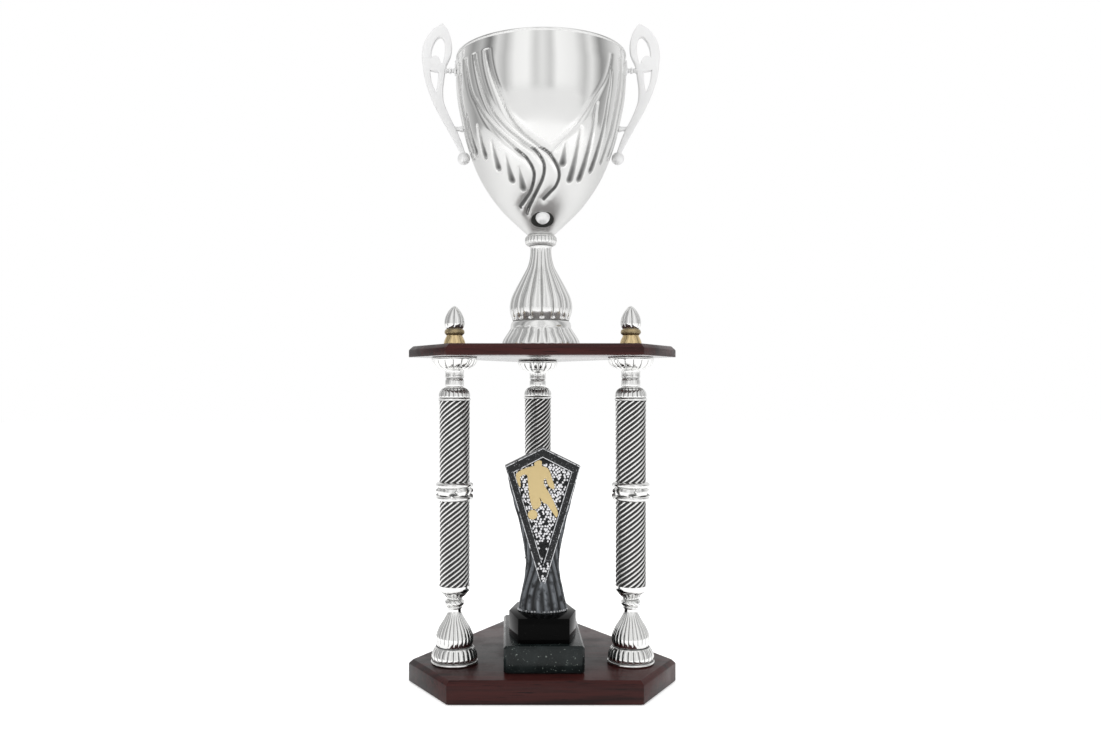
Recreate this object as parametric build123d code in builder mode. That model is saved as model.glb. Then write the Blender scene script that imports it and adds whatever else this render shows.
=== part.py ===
"""Tall presentation trophy: two wooden boards on three turned columns, a statuette and a cup.

Millimetres. The origin is on the floor under the middle of the base board's box.
+Z is up, the statuette looks along -Y, and the cup's handles lie along X.
"""

from build123d import *
from math import sqrt
import os

os.makedirs("parts", exist_ok=True)

# ---- boards ----
triangle_side = 365.5  # side of the equilateral triangle before its corners are cut
front_cut = 88.0  # width of the two cut front corners
back_cut = 42.0  # width of the cut back corner
board_chamfer = 4.0
baize_t = 1.0
baize_inset = 3.0
base_board_t = 22.5
top_board_t = 11.5

# ---- columns ----
column_spacing = 181.0  # side of the triangle on which the columns stand
axis_y = -23.5  # middle of the three columns, and the cup's axis
foot_h = 55.5
socket_h = 24.0
lower_tube_h = 86.5
ring_h = 19.5
upper_tube_h = 83.0
dome_h = 23.0
capital_h = 22.0
foot_r = 24.5
bell_r = 19.6
neck_r = 7.0
knob_r = 10.0
tube_r = 15.7
tube_wall = 1.5
bead_r = 19.4
collar_r = 9.8
capital_r = 23.7

# ---- M6 and M8 fasteners: radii and heights ----
rod_r = 3.0
rod_thread_r = 3.06
rod_clearance_r = 3.3
nut_m6_r = 5.7
nut_m6_h = 5.0
washer_m6_r = 6.2
washer_t = 1.6
counterbore_r = 8.0
counterbore_h = 7.5
stud_r = 4.0
stud_thread_r = 4.06
stud_clearance_r = 4.3
nut_m8_r = 7.4
nut_m8_h = 6.5
washer_m8_r = 9.0
rod_end_gap = 0.5

# ---- finials ----
socket_foot_r = 11.8
socket_waist_r = 7.8
socket_lip_r = 9.6
finial_socket_h = 16.7
socket_hollow_r = 7.0
socket_hollow_h = 7.6
bud_r = 10.7
bud_h = 24.0
bud_gap = 0.3
insert_r = 4.5
insert_h = 11.8
insert_play = 0.06
rod_in_bud = 11.0

# ---- cup ----
cup_foot_h = 28.5
cup_foot_r = 42.2
cup_waist_r = 31.0
vase_h = 81.0
vase_r = 34.2
vase_neck_r = 11.6
cup_wall = 3.0
cup_collar_h = 12.0
cup_collar_r = 17.4
bowl_h = 192.0
bowl_r = 91.7
rim_r = 90.3
bowl_floor_r = 14.0
bowl_wall = 1.5
rim_bead_r = 1.6
tee_nut_r = 9.0
tee_nut_flange = 1.5
tee_nut_barrel_r = 5.4
tee_nut_h = 8.5

# ---- handles, drawn as radius from the cup's axis and height above the bowl's floor ----
handle_t = 7.0
handle_ball_r = 6.9
handle_boss_r = 6.0
stub_r = 3.6
upper_stub_z = 178.0
lower_stub_z = 115.0
screw_r = 1.5
screw_clearance_r = 1.6
screw_head_r = 3.0
screw_head_t = 1.8
screw_l = 9.0
fit_gap = 0.15

# ---- statuette and its pedestal ----
statuette_y = -70.5
pad_t = 2.0
pad_inset = 4.0
lower_block = (80.0, 134.0, 25.5)
lower_block_front = 22.0  # set back from the base board's front edge
block_bevel = 2.5
upper_block_front_w = 51.0
upper_block_w = 69.0
upper_block_d = 76.0
upper_block_h = 25.0
plaque_t = 22.0
shoulder_w = 77.0
waist_w = 35.0
skirt_w = 51.0
skirt_d = 36.0
skirt_h = 48.0
shoulder_h = 149.0
apex_h = 168.0
frame_w = 8.5
recess_d = 2.5
panel_t = 1.5
player_t = 1.0
statuette_rod_depth = 27.0

# ---- levels, from the floor up ----
base_top = baize_t + base_board_t
socket_z = base_top + foot_h
lower_tube_z = socket_z + socket_h
ring_z = lower_tube_z + lower_tube_h
upper_tube_z = ring_z + ring_h
dome_z = upper_tube_z + upper_tube_h
capital_z = dome_z + dome_h
shelf_z = capital_z + capital_h
shelf_top = shelf_z + top_board_t
finial_z = shelf_top + finial_socket_h
vase_z = shelf_top + cup_foot_h
cup_collar_z = vase_z + vase_h
bowl_z = cup_collar_z + cup_collar_h
pedestal_z = base_top + pad_t
upper_block_z = pedestal_z + lower_block[2]
statuette_z = upper_block_z + upper_block_h
rod_foot_z = baize_t + rod_end_gap

board_depth = triangle_side * sqrt(3) / 2 - back_cut * sqrt(3) / 2
board_front = -board_depth / 2
board_back = board_depth / 2
front_x = triangle_side / 2 - front_cut
side_x = front_x + front_cut / 2
side_y = board_front + front_cut * sqrt(3) / 2
board_corners = [
    (-front_x, board_front),
    (front_x, board_front),
    (side_x, side_y),
    (back_cut / 2, board_back),
    (-back_cut / 2, board_back),
    (-side_x, side_y),
]
column_places = {
    "left": (-column_spacing / 2, axis_y - column_spacing / (2 * sqrt(3))),
    "right": (column_spacing / 2, axis_y - column_spacing / (2 * sqrt(3))),
    "back": (0, axis_y + column_spacing / sqrt(3)),
}
lower_block_y = board_front + lower_block_front + lower_block[1] / 2


def save(piece, name):
    """Label a finished piece and write its STEP file."""
    piece.part.label = name
    export_step(piece.part, f"parts/{name}.step")


def turning_plane(x, y, z):
    """Sketch plane through a vertical axis: first number the radius, second the height."""
    return Plane((x, y, z), x_dir=(1, 0, 0), z_dir=(0, -1, 0))


def upright(x, y):
    """The vertical axis through a place on the floor."""
    return Axis((x, y, 0), (0, 0, 1))


# ---- base and shelf ----


def base_baize():
    """Thin cloth glued under the base board, which the trophy rests on."""
    with BuildPart() as baize:
        with BuildSketch():
            Polygon(*board_corners, align=None)
            offset(amount=-baize_inset, kind=Kind.INTERSECTION)
        extrude(amount=baize_t)
    save(baize, "base_baize")


def base_board():
    """Thick board with a chamfered top edge, counterbored below for the four rods."""
    rod_places = list(column_places.values()) + [(0, statuette_y)]
    with BuildPart() as board:
        with BuildSketch(Plane.XY.offset(baize_t)):
            Polygon(*board_corners, align=None)
        extrude(amount=base_board_t)
        chamfer(board.faces().sort_by(Axis.Z)[-1].edges(), board_chamfer)
        with Locations(*[Plane((x, y, baize_t), z_dir=(0, 0, -1)) for x, y in rod_places]):
            CounterBoreHole(rod_clearance_r, counterbore_r, counterbore_h)
    save(board, "base_board")


def top_board():
    """Thin board on the columns, bored for their rods and for the cup's tee nut."""
    with BuildPart() as board:
        with BuildSketch(Plane.XY.offset(shelf_z)):
            Polygon(*board_corners, align=None)
        extrude(amount=top_board_t)
        chamfer(board.faces().sort_by(Axis.Z)[-1].edges(), board_chamfer)
        with Locations(*[(x, y, shelf_top) for x, y in column_places.values()]):
            Hole(rod_clearance_r)
        with Locations(Plane((0, axis_y, shelf_z), z_dir=(0, 0, -1))):
            CounterBoreHole(tee_nut_barrel_r + fit_gap, tee_nut_r + fit_gap, tee_nut_flange)
    save(board, "top_board")


# ---- columns: seven turned pieces threaded on each rod ----


def column_foot(side, x, y):
    """Hollow bell on a scalloped flange."""
    with BuildPart() as foot:
        with BuildSketch(turning_plane(x, y, base_top)):
            with BuildLine():
                Line((bell_r - 2.6, 0), (foot_r - 3, 0))
                ThreePointArc((foot_r - 3, 0), (foot_r, 5.4), (foot_r - 1.5, 8))
                Spline((foot_r - 1.5, 8), (bell_r + 0.4, 13), (bell_r - 0.6, 17.5))
                Spline((bell_r - 0.6, 17.5), (bell_r, 26), (12.5, 42), (neck_r, foot_h))
                Polyline(
                    (neck_r, foot_h),
                    (rod_clearance_r, foot_h),
                    (rod_clearance_r, 46),
                    (8, 43),
                    (bell_r - 3.1, 26),
                    (bell_r - 2.6, 0),
                )
            make_face()
        revolve(axis=upright(x, y))
    save(foot, f"column_foot_{side}")


def column_socket(side, x, y):
    """Round knob with a flared cup above, which holds the lower tube."""
    with BuildPart() as socket:
        with BuildSketch(turning_plane(x, y, socket_z)):
            with BuildLine():
                Line((rod_clearance_r, 0), (neck_r, 0))
                ThreePointArc((neck_r, 0), (knob_r, 6.8), (neck_r + 1.3, 11.8))
                Spline((neck_r + 1.3, 11.8), (12, 15), (tube_r + 0.3, socket_h))
                Polyline(
                    (tube_r + 0.3, socket_h),
                    (rod_clearance_r, socket_h),
                    (rod_clearance_r, 0),
                )
            make_face()
        revolve(axis=upright(x, y))
    save(socket, f"column_socket_{side}")


def column_tube(name, x, y, z, height):
    """Plain tube between two turned pieces."""
    with BuildPart() as tube:
        with BuildSketch(Plane.XY.offset(z)):
            with Locations((x, y)):
                Circle(tube_r)
                Circle(tube_r - tube_wall, mode=Mode.SUBTRACT)
        extrude(amount=height)
    save(tube, name)


def column_ring(side, x, y):
    """Ornamental drum with a round bead at each end."""
    bead = 3.2
    with BuildPart() as ring:
        with BuildSketch(turning_plane(x, y, ring_z)):
            with BuildLine():
                Line((rod_clearance_r, 0), (bead_r - bead, 0))
                ThreePointArc((bead_r - bead, 0), (bead_r, bead), (bead_r - bead, 2 * bead))
                Line((bead_r - bead, 2 * bead), (bead_r - bead, ring_h - 2 * bead))
                ThreePointArc(
                    (bead_r - bead, ring_h - 2 * bead),
                    (bead_r, ring_h - bead),
                    (bead_r - bead, ring_h),
                )
                Polyline(
                    (bead_r - bead, ring_h),
                    (rod_clearance_r, ring_h),
                    (rod_clearance_r, 0),
                )
            make_face()
        revolve(axis=upright(x, y))
    save(ring, f"column_ring_{side}")


def column_dome(side, x, y):
    """Dome that closes the upper tube, with a round collar on top."""
    shoulder_h = 11.5
    with BuildPart() as dome:
        with BuildSketch(turning_plane(x, y, dome_z)):
            with BuildLine():
                Polyline((rod_clearance_r, 0), (tube_r + 0.6, 0), (tube_r + 0.6, 1.5))
                ThreePointArc((tube_r + 0.6, 1.5), (14.6, 7.2), (collar_r - 1, shoulder_h))
                ThreePointArc(
                    (collar_r - 1, shoulder_h),
                    (collar_r, (shoulder_h + dome_h) / 2),
                    (collar_r - 1, dome_h),
                )
                Polyline(
                    (collar_r - 1, dome_h),
                    (rod_clearance_r, dome_h),
                    (rod_clearance_r, 0),
                )
            make_face()
        revolve(axis=upright(x, y))
    save(dome, f"column_dome_{side}")


def column_capital(side, x, y):
    """Bowl-shaped capital that carries the top board."""
    with BuildPart() as capital:
        with BuildSketch(turning_plane(x, y, capital_z)):
            with BuildLine():
                Line((rod_clearance_r, 0), (collar_r - 0.5, 0))
                Spline((collar_r - 0.5, 0), (collar_r + 0.5, 4), (20.5, 12), (capital_r, 18.5))
                Polyline(
                    (capital_r, 18.5),
                    (capital_r, capital_h),
                    (rod_clearance_r, capital_h),
                    (rod_clearance_r, 0),
                )
            make_face()
        revolve(axis=upright(x, y))
    save(capital, f"column_capital_{side}")


def tie_rod(side, x, y):
    """Threaded rod that clamps a column between the boards and carries a finial."""
    with BuildPart() as rod:
        with BuildSketch(Plane.XY.offset(rod_foot_z)):
            with Locations((x, y)):
                Circle(rod_r)
        extrude(amount=finial_z + rod_in_bud - rod_foot_z)
    save(rod, f"tie_rod_{side}")


# ---- finials: each bud is a cap nut on the end of its rod ----


def finial_socket(side, x, y):
    """Egg cup on a conical foot, hollow over the nut that holds the top board."""
    with BuildPart() as socket:
        with BuildSketch(turning_plane(x, y, shelf_top)):
            with BuildLine():
                Polyline(
                    (socket_hollow_r, 0),
                    (socket_foot_r, 0),
                    (socket_foot_r, 1.5),
                    (socket_waist_r, finial_socket_h - 5),
                )
                ThreePointArc(
                    (socket_waist_r, finial_socket_h - 5),
                    (socket_lip_r - 0.5, finial_socket_h - 2.5),
                    (socket_lip_r, finial_socket_h),
                )
                Polyline(
                    (socket_lip_r, finial_socket_h),
                    (rod_clearance_r, finial_socket_h),
                    (rod_clearance_r, socket_hollow_h),
                    (socket_hollow_r, socket_hollow_h),
                    (socket_hollow_r, 0),
                )
            make_face()
        revolve(axis=upright(x, y))
    save(socket, f"finial_socket_{side}")


def finial_insert(side, x, y):
    """Brass threaded insert inside the bud."""
    with BuildPart() as insert:
        with BuildSketch(Plane.XY.offset(finial_z + bud_gap)):
            with Locations((x, y)):
                Circle(insert_r)
                Circle(rod_thread_r, mode=Mode.SUBTRACT)
        extrude(amount=insert_h)
    save(insert, f"finial_insert_{side}")


def finial_bud(side, x, y):
    """Flower bud with a pointed tip, bored from below for its insert."""
    cavity_r = insert_r + insert_play
    cavity_h = insert_h + bud_gap
    with BuildPart() as bud:
        with BuildSketch(turning_plane(x, y, finial_z + bud_gap)):
            with BuildLine():
                Line((cavity_r, 0), (bud_r - 2.5, 0))
                Spline((bud_r - 2.5, 0), (bud_r, 7), (bud_r - 3.2, 16), (0, bud_h))
                Polyline((0, bud_h), (0, cavity_h), (cavity_r, cavity_h), (cavity_r, 0))
            make_face()
        revolve(axis=upright(x, y))
    save(bud, f"finial_bud_{side}")


# ---- nuts and washers of the three tie rods ----


def hex_nuts(name, places, z, nut_r, bore_r, height):
    """A hexagon nut at each place."""
    with BuildPart() as nuts:
        with BuildSketch(Plane.XY.offset(z)):
            with Locations(*places):
                RegularPolygon(nut_r, 6)
                Circle(bore_r, mode=Mode.SUBTRACT)
        extrude(amount=height)
    save(nuts, name)


def washers(name, places, z, washer_r, bore_r):
    """A flat washer at each place."""
    with BuildPart() as discs:
        with BuildSketch(Plane.XY.offset(z)):
            with Locations(*places):
                Circle(washer_r)
                Circle(bore_r, mode=Mode.SUBTRACT)
        extrude(amount=washer_t)
    save(discs, name)


# ---- cup ----


def cup_foot():
    """Hollow stepped foot, closed on top where the stud clamps it."""
    with BuildPart() as foot:
        with BuildSketch(turning_plane(0, axis_y, shelf_top)):
            with BuildLine():
                Line((cup_foot_r - cup_wall - 1.7, 0), (cup_foot_r - 1.7, 0))
                ThreePointArc((cup_foot_r - 1.7, 0), (cup_foot_r, 5.7), (cup_foot_r - 3, 10.5))
                Spline((cup_foot_r - 3, 10.5), (34.5, 17), (cup_waist_r, cup_foot_h))
                Polyline(
                    (cup_waist_r, cup_foot_h),
                    (stud_clearance_r, cup_foot_h),
                    (stud_clearance_r, cup_foot_h - cup_wall),
                    (cup_waist_r - cup_wall, cup_foot_h - cup_wall),
                    (31.0, 17),
                    (cup_foot_r - cup_wall - 3, 9),
                    (cup_foot_r - cup_wall - 1.7, 0),
                )
            make_face()
        revolve(axis=upright(0, axis_y))
    save(foot, "cup_foot")


def cup_vase():
    """Hollow lobed vase that narrows to the cup's neck."""
    with BuildPart() as vase:
        with BuildSketch(turning_plane(0, axis_y, vase_z)):
            with BuildLine():
                Line((cup_waist_r - cup_wall, 0), (cup_waist_r - 0.5, 0))
                Spline(
                    (cup_waist_r - 0.5, 0),
                    (vase_r, 17),
                    (24.5, 43),
                    (vase_neck_r, 66),
                    (vase_neck_r, vase_h),
                )
                Polyline((vase_neck_r, vase_h), (stud_clearance_r, vase_h), (stud_clearance_r, 62))
                Spline(
                    (stud_clearance_r, 62),
                    (24.5 - cup_wall, 40),
                    (vase_r - cup_wall, 17),
                    (cup_waist_r - cup_wall, 0),
                )
            make_face()
        revolve(axis=upright(0, axis_y))
    save(vase, "cup_vase")


def cup_collar():
    """Ribbed ring between the vase and the bowl."""
    with BuildPart() as collar:
        with BuildSketch(turning_plane(0, axis_y, cup_collar_z)):
            with BuildLine():
                Line((stud_clearance_r, 0), (cup_collar_r - 3, 0))
                ThreePointArc(
                    (cup_collar_r - 3, 0),
                    (cup_collar_r, cup_collar_h / 2),
                    (cup_collar_r - 3, cup_collar_h),
                )
                Polyline(
                    (cup_collar_r - 3, cup_collar_h),
                    (stud_clearance_r, cup_collar_h),
                    (stud_clearance_r, 0),
                )
            make_face()
        revolve(axis=upright(0, axis_y))
    save(collar, "cup_collar")


def bowl_solid(extra):
    """Revolved bowl, full to the axis, with its outside moved out by a given amount."""
    with BuildPart() as solid:
        with BuildSketch(turning_plane(0, axis_y, bowl_z)):
            with BuildLine():
                Line((0, -extra), (bowl_floor_r + extra, -extra))
                Spline(
                    (bowl_floor_r + extra, -extra),
                    (44 + extra, 29),
                    (69.6 + extra, 69.5),
                    (86.4 + extra, 125),
                    (bowl_r + extra, 165),
                    (rim_r + extra, bowl_h),
                )
                Polyline((rim_r + extra, bowl_h), (0, bowl_h), (0, -extra))
            make_face()
        revolve(axis=upright(0, axis_y))
    return solid.part


def screw_places():
    """Each handle screw: the bowl's wall at its level, on the left and on the right."""
    wall_r = {upper_stub_z: bowl_r, lower_stub_z: 84.2}
    return [(turn, z, wall_r[z]) for turn in (1, -1) for z in (upper_stub_z, lower_stub_z)]


def cup_bowl():
    """Thin-walled bowl with a rolled rim, bored for the stud and four handle screws."""
    rim_z = bowl_h - 2 * rim_bead_r
    with BuildPart() as bowl:
        with BuildSketch(turning_plane(0, axis_y, bowl_z)):
            with BuildLine():
                Line((stud_clearance_r, 0), (bowl_floor_r, 0))
                Spline(
                    (bowl_floor_r, 0),
                    (44, 29),
                    (69.6, 69.5),
                    (86.4, 125),
                    (bowl_r, 165),
                    (rim_r, rim_z),
                )
                ThreePointArc(
                    (rim_r, rim_z),
                    (rim_r + rim_bead_r / 2, bowl_h - rim_bead_r),
                    (rim_r - bowl_wall / 2, bowl_h),
                )
                Line((rim_r - bowl_wall / 2, bowl_h), (rim_r - bowl_wall, rim_z))
                Spline(
                    (rim_r - bowl_wall, rim_z),
                    (bowl_r - bowl_wall, 165),
                    (86.4 - bowl_wall, 125.3),
                    (69.6 - bowl_wall, 70),
                    (44 - bowl_wall, 29.6),
                    (bowl_floor_r, bowl_wall),
                )
                Polyline(
                    (bowl_floor_r, bowl_wall),
                    (stud_clearance_r, bowl_wall),
                    (stud_clearance_r, 0),
                )
            make_face()
        revolve(axis=upright(0, axis_y))
        for turn, z, wall_r in screw_places():
            with BuildSketch(Plane((turn * 70, axis_y, bowl_z + z), z_dir=(turn, 0, 0))):
                Circle(screw_clearance_r)
            extrude(amount=wall_r - 70 + 3, mode=Mode.SUBTRACT)
    save(bowl, "cup_bowl")


def cup_stud():
    """Long stud from the shelf's tee nut to the nut in the bowl."""
    with BuildPart() as stud:
        with BuildSketch(Plane.XY.offset(shelf_z + rod_end_gap)):
            with Locations((0, axis_y)):
                Circle(stud_r)
        extrude(amount=bowl_z + bowl_wall + washer_t + nut_m8_h + 2 - shelf_z - rod_end_gap)
    save(stud, "cup_stud")


def cup_tee_nut():
    """Tee nut pressed into the underside of the top board."""
    with BuildPart() as tee_nut:
        with BuildSketch(Plane.XY.offset(shelf_z)):
            with Locations((0, axis_y)):
                Circle(tee_nut_r)
        extrude(amount=tee_nut_flange)
        with BuildSketch(Plane.XY.offset(shelf_z + tee_nut_flange)):
            with Locations((0, axis_y)):
                Circle(tee_nut_barrel_r)
        extrude(amount=tee_nut_h - tee_nut_flange)
        with Locations((0, axis_y, shelf_z + tee_nut_h)):
            Hole(stud_thread_r)
    save(tee_nut, "cup_tee_nut")


# ---- handles ----


def cup_handle(side, turn):
    """Flat cast handle: a leaf-shaped loop with a scroll ball below and two stubs."""
    drawing = Plane((0, axis_y, bowl_z), x_dir=(turn, 0, 0), z_dir=(0, -turn, 0))
    with BuildPart() as handle:
        with BuildSketch(drawing):
            with BuildLine():
                Spline((106, 229), (125.7, 209.7), (128.3, 187), (120.8, 153.7), (85.5, 86))
                Line((85.5, 86), (81, 86))
                Spline((81, 86), (90, 111), (104.5, 143), (104.3, 170))
                Line((104.3, 170), (102, 183))
                Spline((102, 183), (95.5, 203), (106, 229))
            make_face()
            with BuildLine():
                Spline((106, 185), (104, 198), (107, 213), (116.5, 205), (118.6, 190))
                Line((118.6, 190), (106, 185))
            make_face(mode=Mode.SUBTRACT)
            with BuildLine():
                Spline((119.6, 178), (117.5, 165), (113.2, 154))
                Spline((113.2, 154), (111.8, 164), (110.6, 176))
                Line((110.6, 176), (119.6, 178))
            make_face(mode=Mode.SUBTRACT)
            with Locations((114.2, 187.7)):
                Circle(handle_boss_r)
        extrude(amount=handle_t / 2, both=True)
        with Locations((turn * 83.3, axis_y, bowl_z + 83)):
            Sphere(handle_ball_r)
        for z, stub_end in ((upper_stub_z, 107), (lower_stub_z, 97)):
            with BuildSketch(Plane((turn * 80, axis_y, bowl_z + z), z_dir=(turn, 0, 0))):
                Circle(stub_r)
            extrude(amount=stub_end - 80)
        add(bowl_solid(fit_gap), mode=Mode.SUBTRACT)
        for _, z, wall_r in screw_places()[:2]:
            with BuildSketch(Plane((turn * 60, axis_y, bowl_z + z), z_dir=(turn, 0, 0))):
                Circle(screw_clearance_r)
            extrude(amount=wall_r - 60 + screw_l, mode=Mode.SUBTRACT)
    save(handle, f"handle_{side}")


def handle_screws():
    """Four screws from inside the bowl into the handles' stubs."""
    with BuildPart() as screws:
        for turn, z, wall_r in screw_places():
            head_r = wall_r - bowl_wall - 1.4
            head = Plane((turn * head_r, axis_y, bowl_z + z), z_dir=(-turn, 0, 0))
            with BuildSketch(head):
                Circle(screw_head_r)
            extrude(amount=screw_head_t)
            with BuildSketch(head):
                Circle(screw_r)
            extrude(amount=-screw_l)
    save(screws, "handle_screws")


# ---- statuette ----


def pedestal():
    """Foam pad, stone block and polished six-sided block, bored for the rod."""
    with BuildPart() as pad:
        with BuildSketch(Plane.XY.offset(base_top)):
            with Locations((0, lower_block_y)):
                Rectangle(lower_block[0] - 2 * pad_inset, lower_block[1] - 2 * pad_inset)
            with Locations((0, statuette_y)):
                Circle(rod_clearance_r, mode=Mode.SUBTRACT)
        extrude(amount=pad_t)
    save(pad, "pedestal_pad")

    with BuildPart() as stone:
        with BuildSketch(Plane.XY.offset(pedestal_z)):
            with Locations((0, lower_block_y)):
                Rectangle(lower_block[0], lower_block[1])
        extrude(amount=lower_block[2])
        chamfer(stone.edges().filter_by(Axis.Z), block_bevel)
        chamfer(stone.faces().sort_by(Axis.Z)[-1].edges(), block_bevel)
        with Locations((0, statuette_y, upper_block_z)):
            Hole(rod_clearance_r)
    save(stone, "pedestal_stone")

    half_front = upper_block_front_w / 2
    half_w = upper_block_w / 2
    half_d = upper_block_d / 2
    hexagon = [
        (-half_front, statuette_y - half_d),
        (half_front, statuette_y - half_d),
        (half_w, statuette_y),
        (half_front, statuette_y + half_d),
        (-half_front, statuette_y + half_d),
        (-half_w, statuette_y),
    ]
    with BuildPart() as plinth:
        with BuildSketch(Plane.XY.offset(upper_block_z)):
            Polygon(*hexagon, align=None)
        extrude(amount=upper_block_h)
        chamfer(plinth.faces().sort_by(Axis.Z)[-1].edges(), 0.8)
        with Locations((0, statuette_y, statuette_z)):
            Hole(rod_clearance_r)
    save(plinth, "pedestal_plinth")


def kite_outline(inset):
    """Corners of the plaque's inner panel, drawn above the statuette's foot."""
    return [
        (0, apex_h - frame_w - 1 - inset),
        (shoulder_w / 2 - frame_w - inset, shoulder_h - 5 - inset / 2),
        (0, skirt_h - 1 + 2.5 * inset),
        (-shoulder_w / 2 + frame_w + inset, shoulder_h - 5 - inset / 2),
    ]


def statuette_body():
    """Five-sided plaque that narrows to a waist and spreads again to a skirt."""
    front = statuette_y - plaque_t / 2
    front_plane = Plane((0, front, statuette_z), x_dir=(1, 0, 0), z_dir=(0, -1, 0))
    pentagon = [
        (0, apex_h),
        (shoulder_w / 2, shoulder_h),
        (waist_w / 2, skirt_h),
        (-waist_w / 2, skirt_h),
        (-shoulder_w / 2, shoulder_h),
    ]
    with BuildPart() as body:
        with BuildSketch(front_plane):
            Polygon(*pentagon, align=None)
        extrude(amount=-plaque_t)
        with BuildSketch(Plane.XY.offset(statuette_z)):
            with Locations((0, statuette_y)):
                Rectangle(skirt_w, skirt_d)
        with BuildSketch(Plane.XY.offset(statuette_z + skirt_h)):
            with Locations((0, statuette_y)):
                Rectangle(waist_w, plaque_t)
        loft()
        with BuildSketch(front_plane):
            Polygon(*kite_outline(0), align=None)
        extrude(amount=-recess_d, mode=Mode.SUBTRACT)
        with BuildSketch(Plane.XY.offset(statuette_z)):
            with Locations((0, statuette_y)):
                Circle(rod_thread_r)
        extrude(amount=statuette_rod_depth, mode=Mode.SUBTRACT)
    save(body, "statuette_body")


def statuette_panel():
    """Granular plate set in the plaque's recess."""
    back = statuette_y - plaque_t / 2 + recess_d
    with BuildPart() as panel:
        with BuildSketch(Plane((0, back, statuette_z), x_dir=(1, 0, 0), z_dir=(0, -1, 0))):
            Polygon(*kite_outline(0.2), align=None)
        extrude(amount=panel_t)
    save(panel, "statuette_panel")


def statuette_player():
    """Flat stamped figure of a ball player bending over the ball, on the panel."""
    back = statuette_y - plaque_t / 2 + recess_d - panel_t
    figure = [
        (-7.5, 153.5),
        (-1.5, 155.5),
        (-1.0, 148.5),
        (6.0, 145.0),
        (11.5, 128.0),
        (2.5, 131.5),
        (7.5, 120.0),
        (15.5, 101.5),
        (13.5, 97.5),
        (4.0, 110.5),
        (-2.5, 115.0),
        (-6.0, 106.5),
        (-10.5, 106.5),
        (-15.5, 135.0),
        (-20.0, 140.5),
        (-24.5, 129.0),
        (-28.0, 141.0),
        (-14.0, 149.0),
    ]
    with BuildPart() as player:
        with BuildSketch(Plane((0, back, statuette_z), x_dir=(1, 0, 0), z_dir=(0, -1, 0))):
            Polygon(*figure, align=None)
            with Locations((-9.8, 99.5)):
                Circle(5.0)
            with Locations((-9.0, 104.5)):
                Rectangle(3, 5)
        extrude(amount=player_t)
    save(player, "statuette_player")


def statuette_rod():
    """Rod from under the base board up into the statuette."""
    with BuildPart() as rod:
        with BuildSketch(Plane.XY.offset(rod_foot_z)):
            with Locations((0, statuette_y)):
                Circle(rod_r)
        extrude(amount=statuette_z + statuette_rod_depth - 2 - rod_foot_z)
    save(rod, "statuette_rod")


base_baize()
base_board()
top_board()

for side, (x, y) in column_places.items():
    column_foot(side, x, y)
    column_socket(side, x, y)
    column_tube(f"column_tube_lower_{side}", x, y, lower_tube_z, lower_tube_h)
    column_ring(side, x, y)
    column_tube(f"column_tube_upper_{side}", x, y, upper_tube_z, upper_tube_h)
    column_dome(side, x, y)
    column_capital(side, x, y)
    tie_rod(side, x, y)
    finial_socket(side, x, y)
    finial_insert(side, x, y)
    finial_bud(side, x, y)

rods = list(column_places.values())
washer_z = baize_t + counterbore_h - washer_t
hex_nuts("rod_nuts_lower", rods, washer_z - nut_m6_h, nut_m6_r, rod_thread_r, nut_m6_h)
washers("rod_washers_lower", rods, washer_z, washer_m6_r, rod_clearance_r)
hex_nuts("rod_nuts_upper", rods, shelf_top + washer_t, nut_m6_r, rod_thread_r, nut_m6_h)
washers("rod_washers_upper", rods, shelf_top, washer_m6_r, rod_clearance_r)

cup_place = [(0, axis_y)]
bowl_floor = bowl_z + bowl_wall
cup_foot()
cup_vase()
cup_collar()
cup_bowl()
cup_stud()
cup_tee_nut()
hex_nuts("cup_nut", cup_place, bowl_floor + washer_t, nut_m8_r, stud_thread_r, nut_m8_h)
washers("cup_washer", cup_place, bowl_floor, washer_m8_r, stud_clearance_r)
cup_handle("right", 1)
cup_handle("left", -1)
handle_screws()

statuette_place = [(0, statuette_y)]
pedestal()
statuette_body()
statuette_panel()
statuette_player()
statuette_rod()
hex_nuts("statuette_nut", statuette_place, washer_z - nut_m6_h, nut_m6_r, rod_thread_r, nut_m6_h)
washers("statuette_washer", statuette_place, washer_z, washer_m6_r, rod_clearance_r)
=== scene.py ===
"""The looks of a tall presentation trophy, built round its fixed frame.

The frame holds every size and place. Outlines are in millimetres, as (radius, height) above the
foot of the frame's own piece, and everything that reaches a mesh is in metres.
"""

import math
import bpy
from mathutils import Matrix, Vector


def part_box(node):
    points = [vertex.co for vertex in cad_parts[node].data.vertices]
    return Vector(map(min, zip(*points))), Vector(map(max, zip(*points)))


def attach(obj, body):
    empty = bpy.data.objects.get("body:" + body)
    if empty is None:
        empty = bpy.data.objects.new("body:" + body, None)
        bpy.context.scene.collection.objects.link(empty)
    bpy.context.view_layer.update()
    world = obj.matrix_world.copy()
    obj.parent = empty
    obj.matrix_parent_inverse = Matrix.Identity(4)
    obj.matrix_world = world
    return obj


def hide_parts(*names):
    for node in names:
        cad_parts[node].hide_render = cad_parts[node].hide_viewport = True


bl_info = {
    "name": "Presentation trophy",
    "version": (1, 0, 0),
    "blender": (4, 5, 0),
    "location": "View3D > Sidebar > Trophy",
    "description": "Boards, reeded columns, statuette and two-handled cup of a tall trophy",
    "category": "Add Mesh",
}

import bmesh
import bpy
from mathutils import Matrix, Vector

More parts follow.
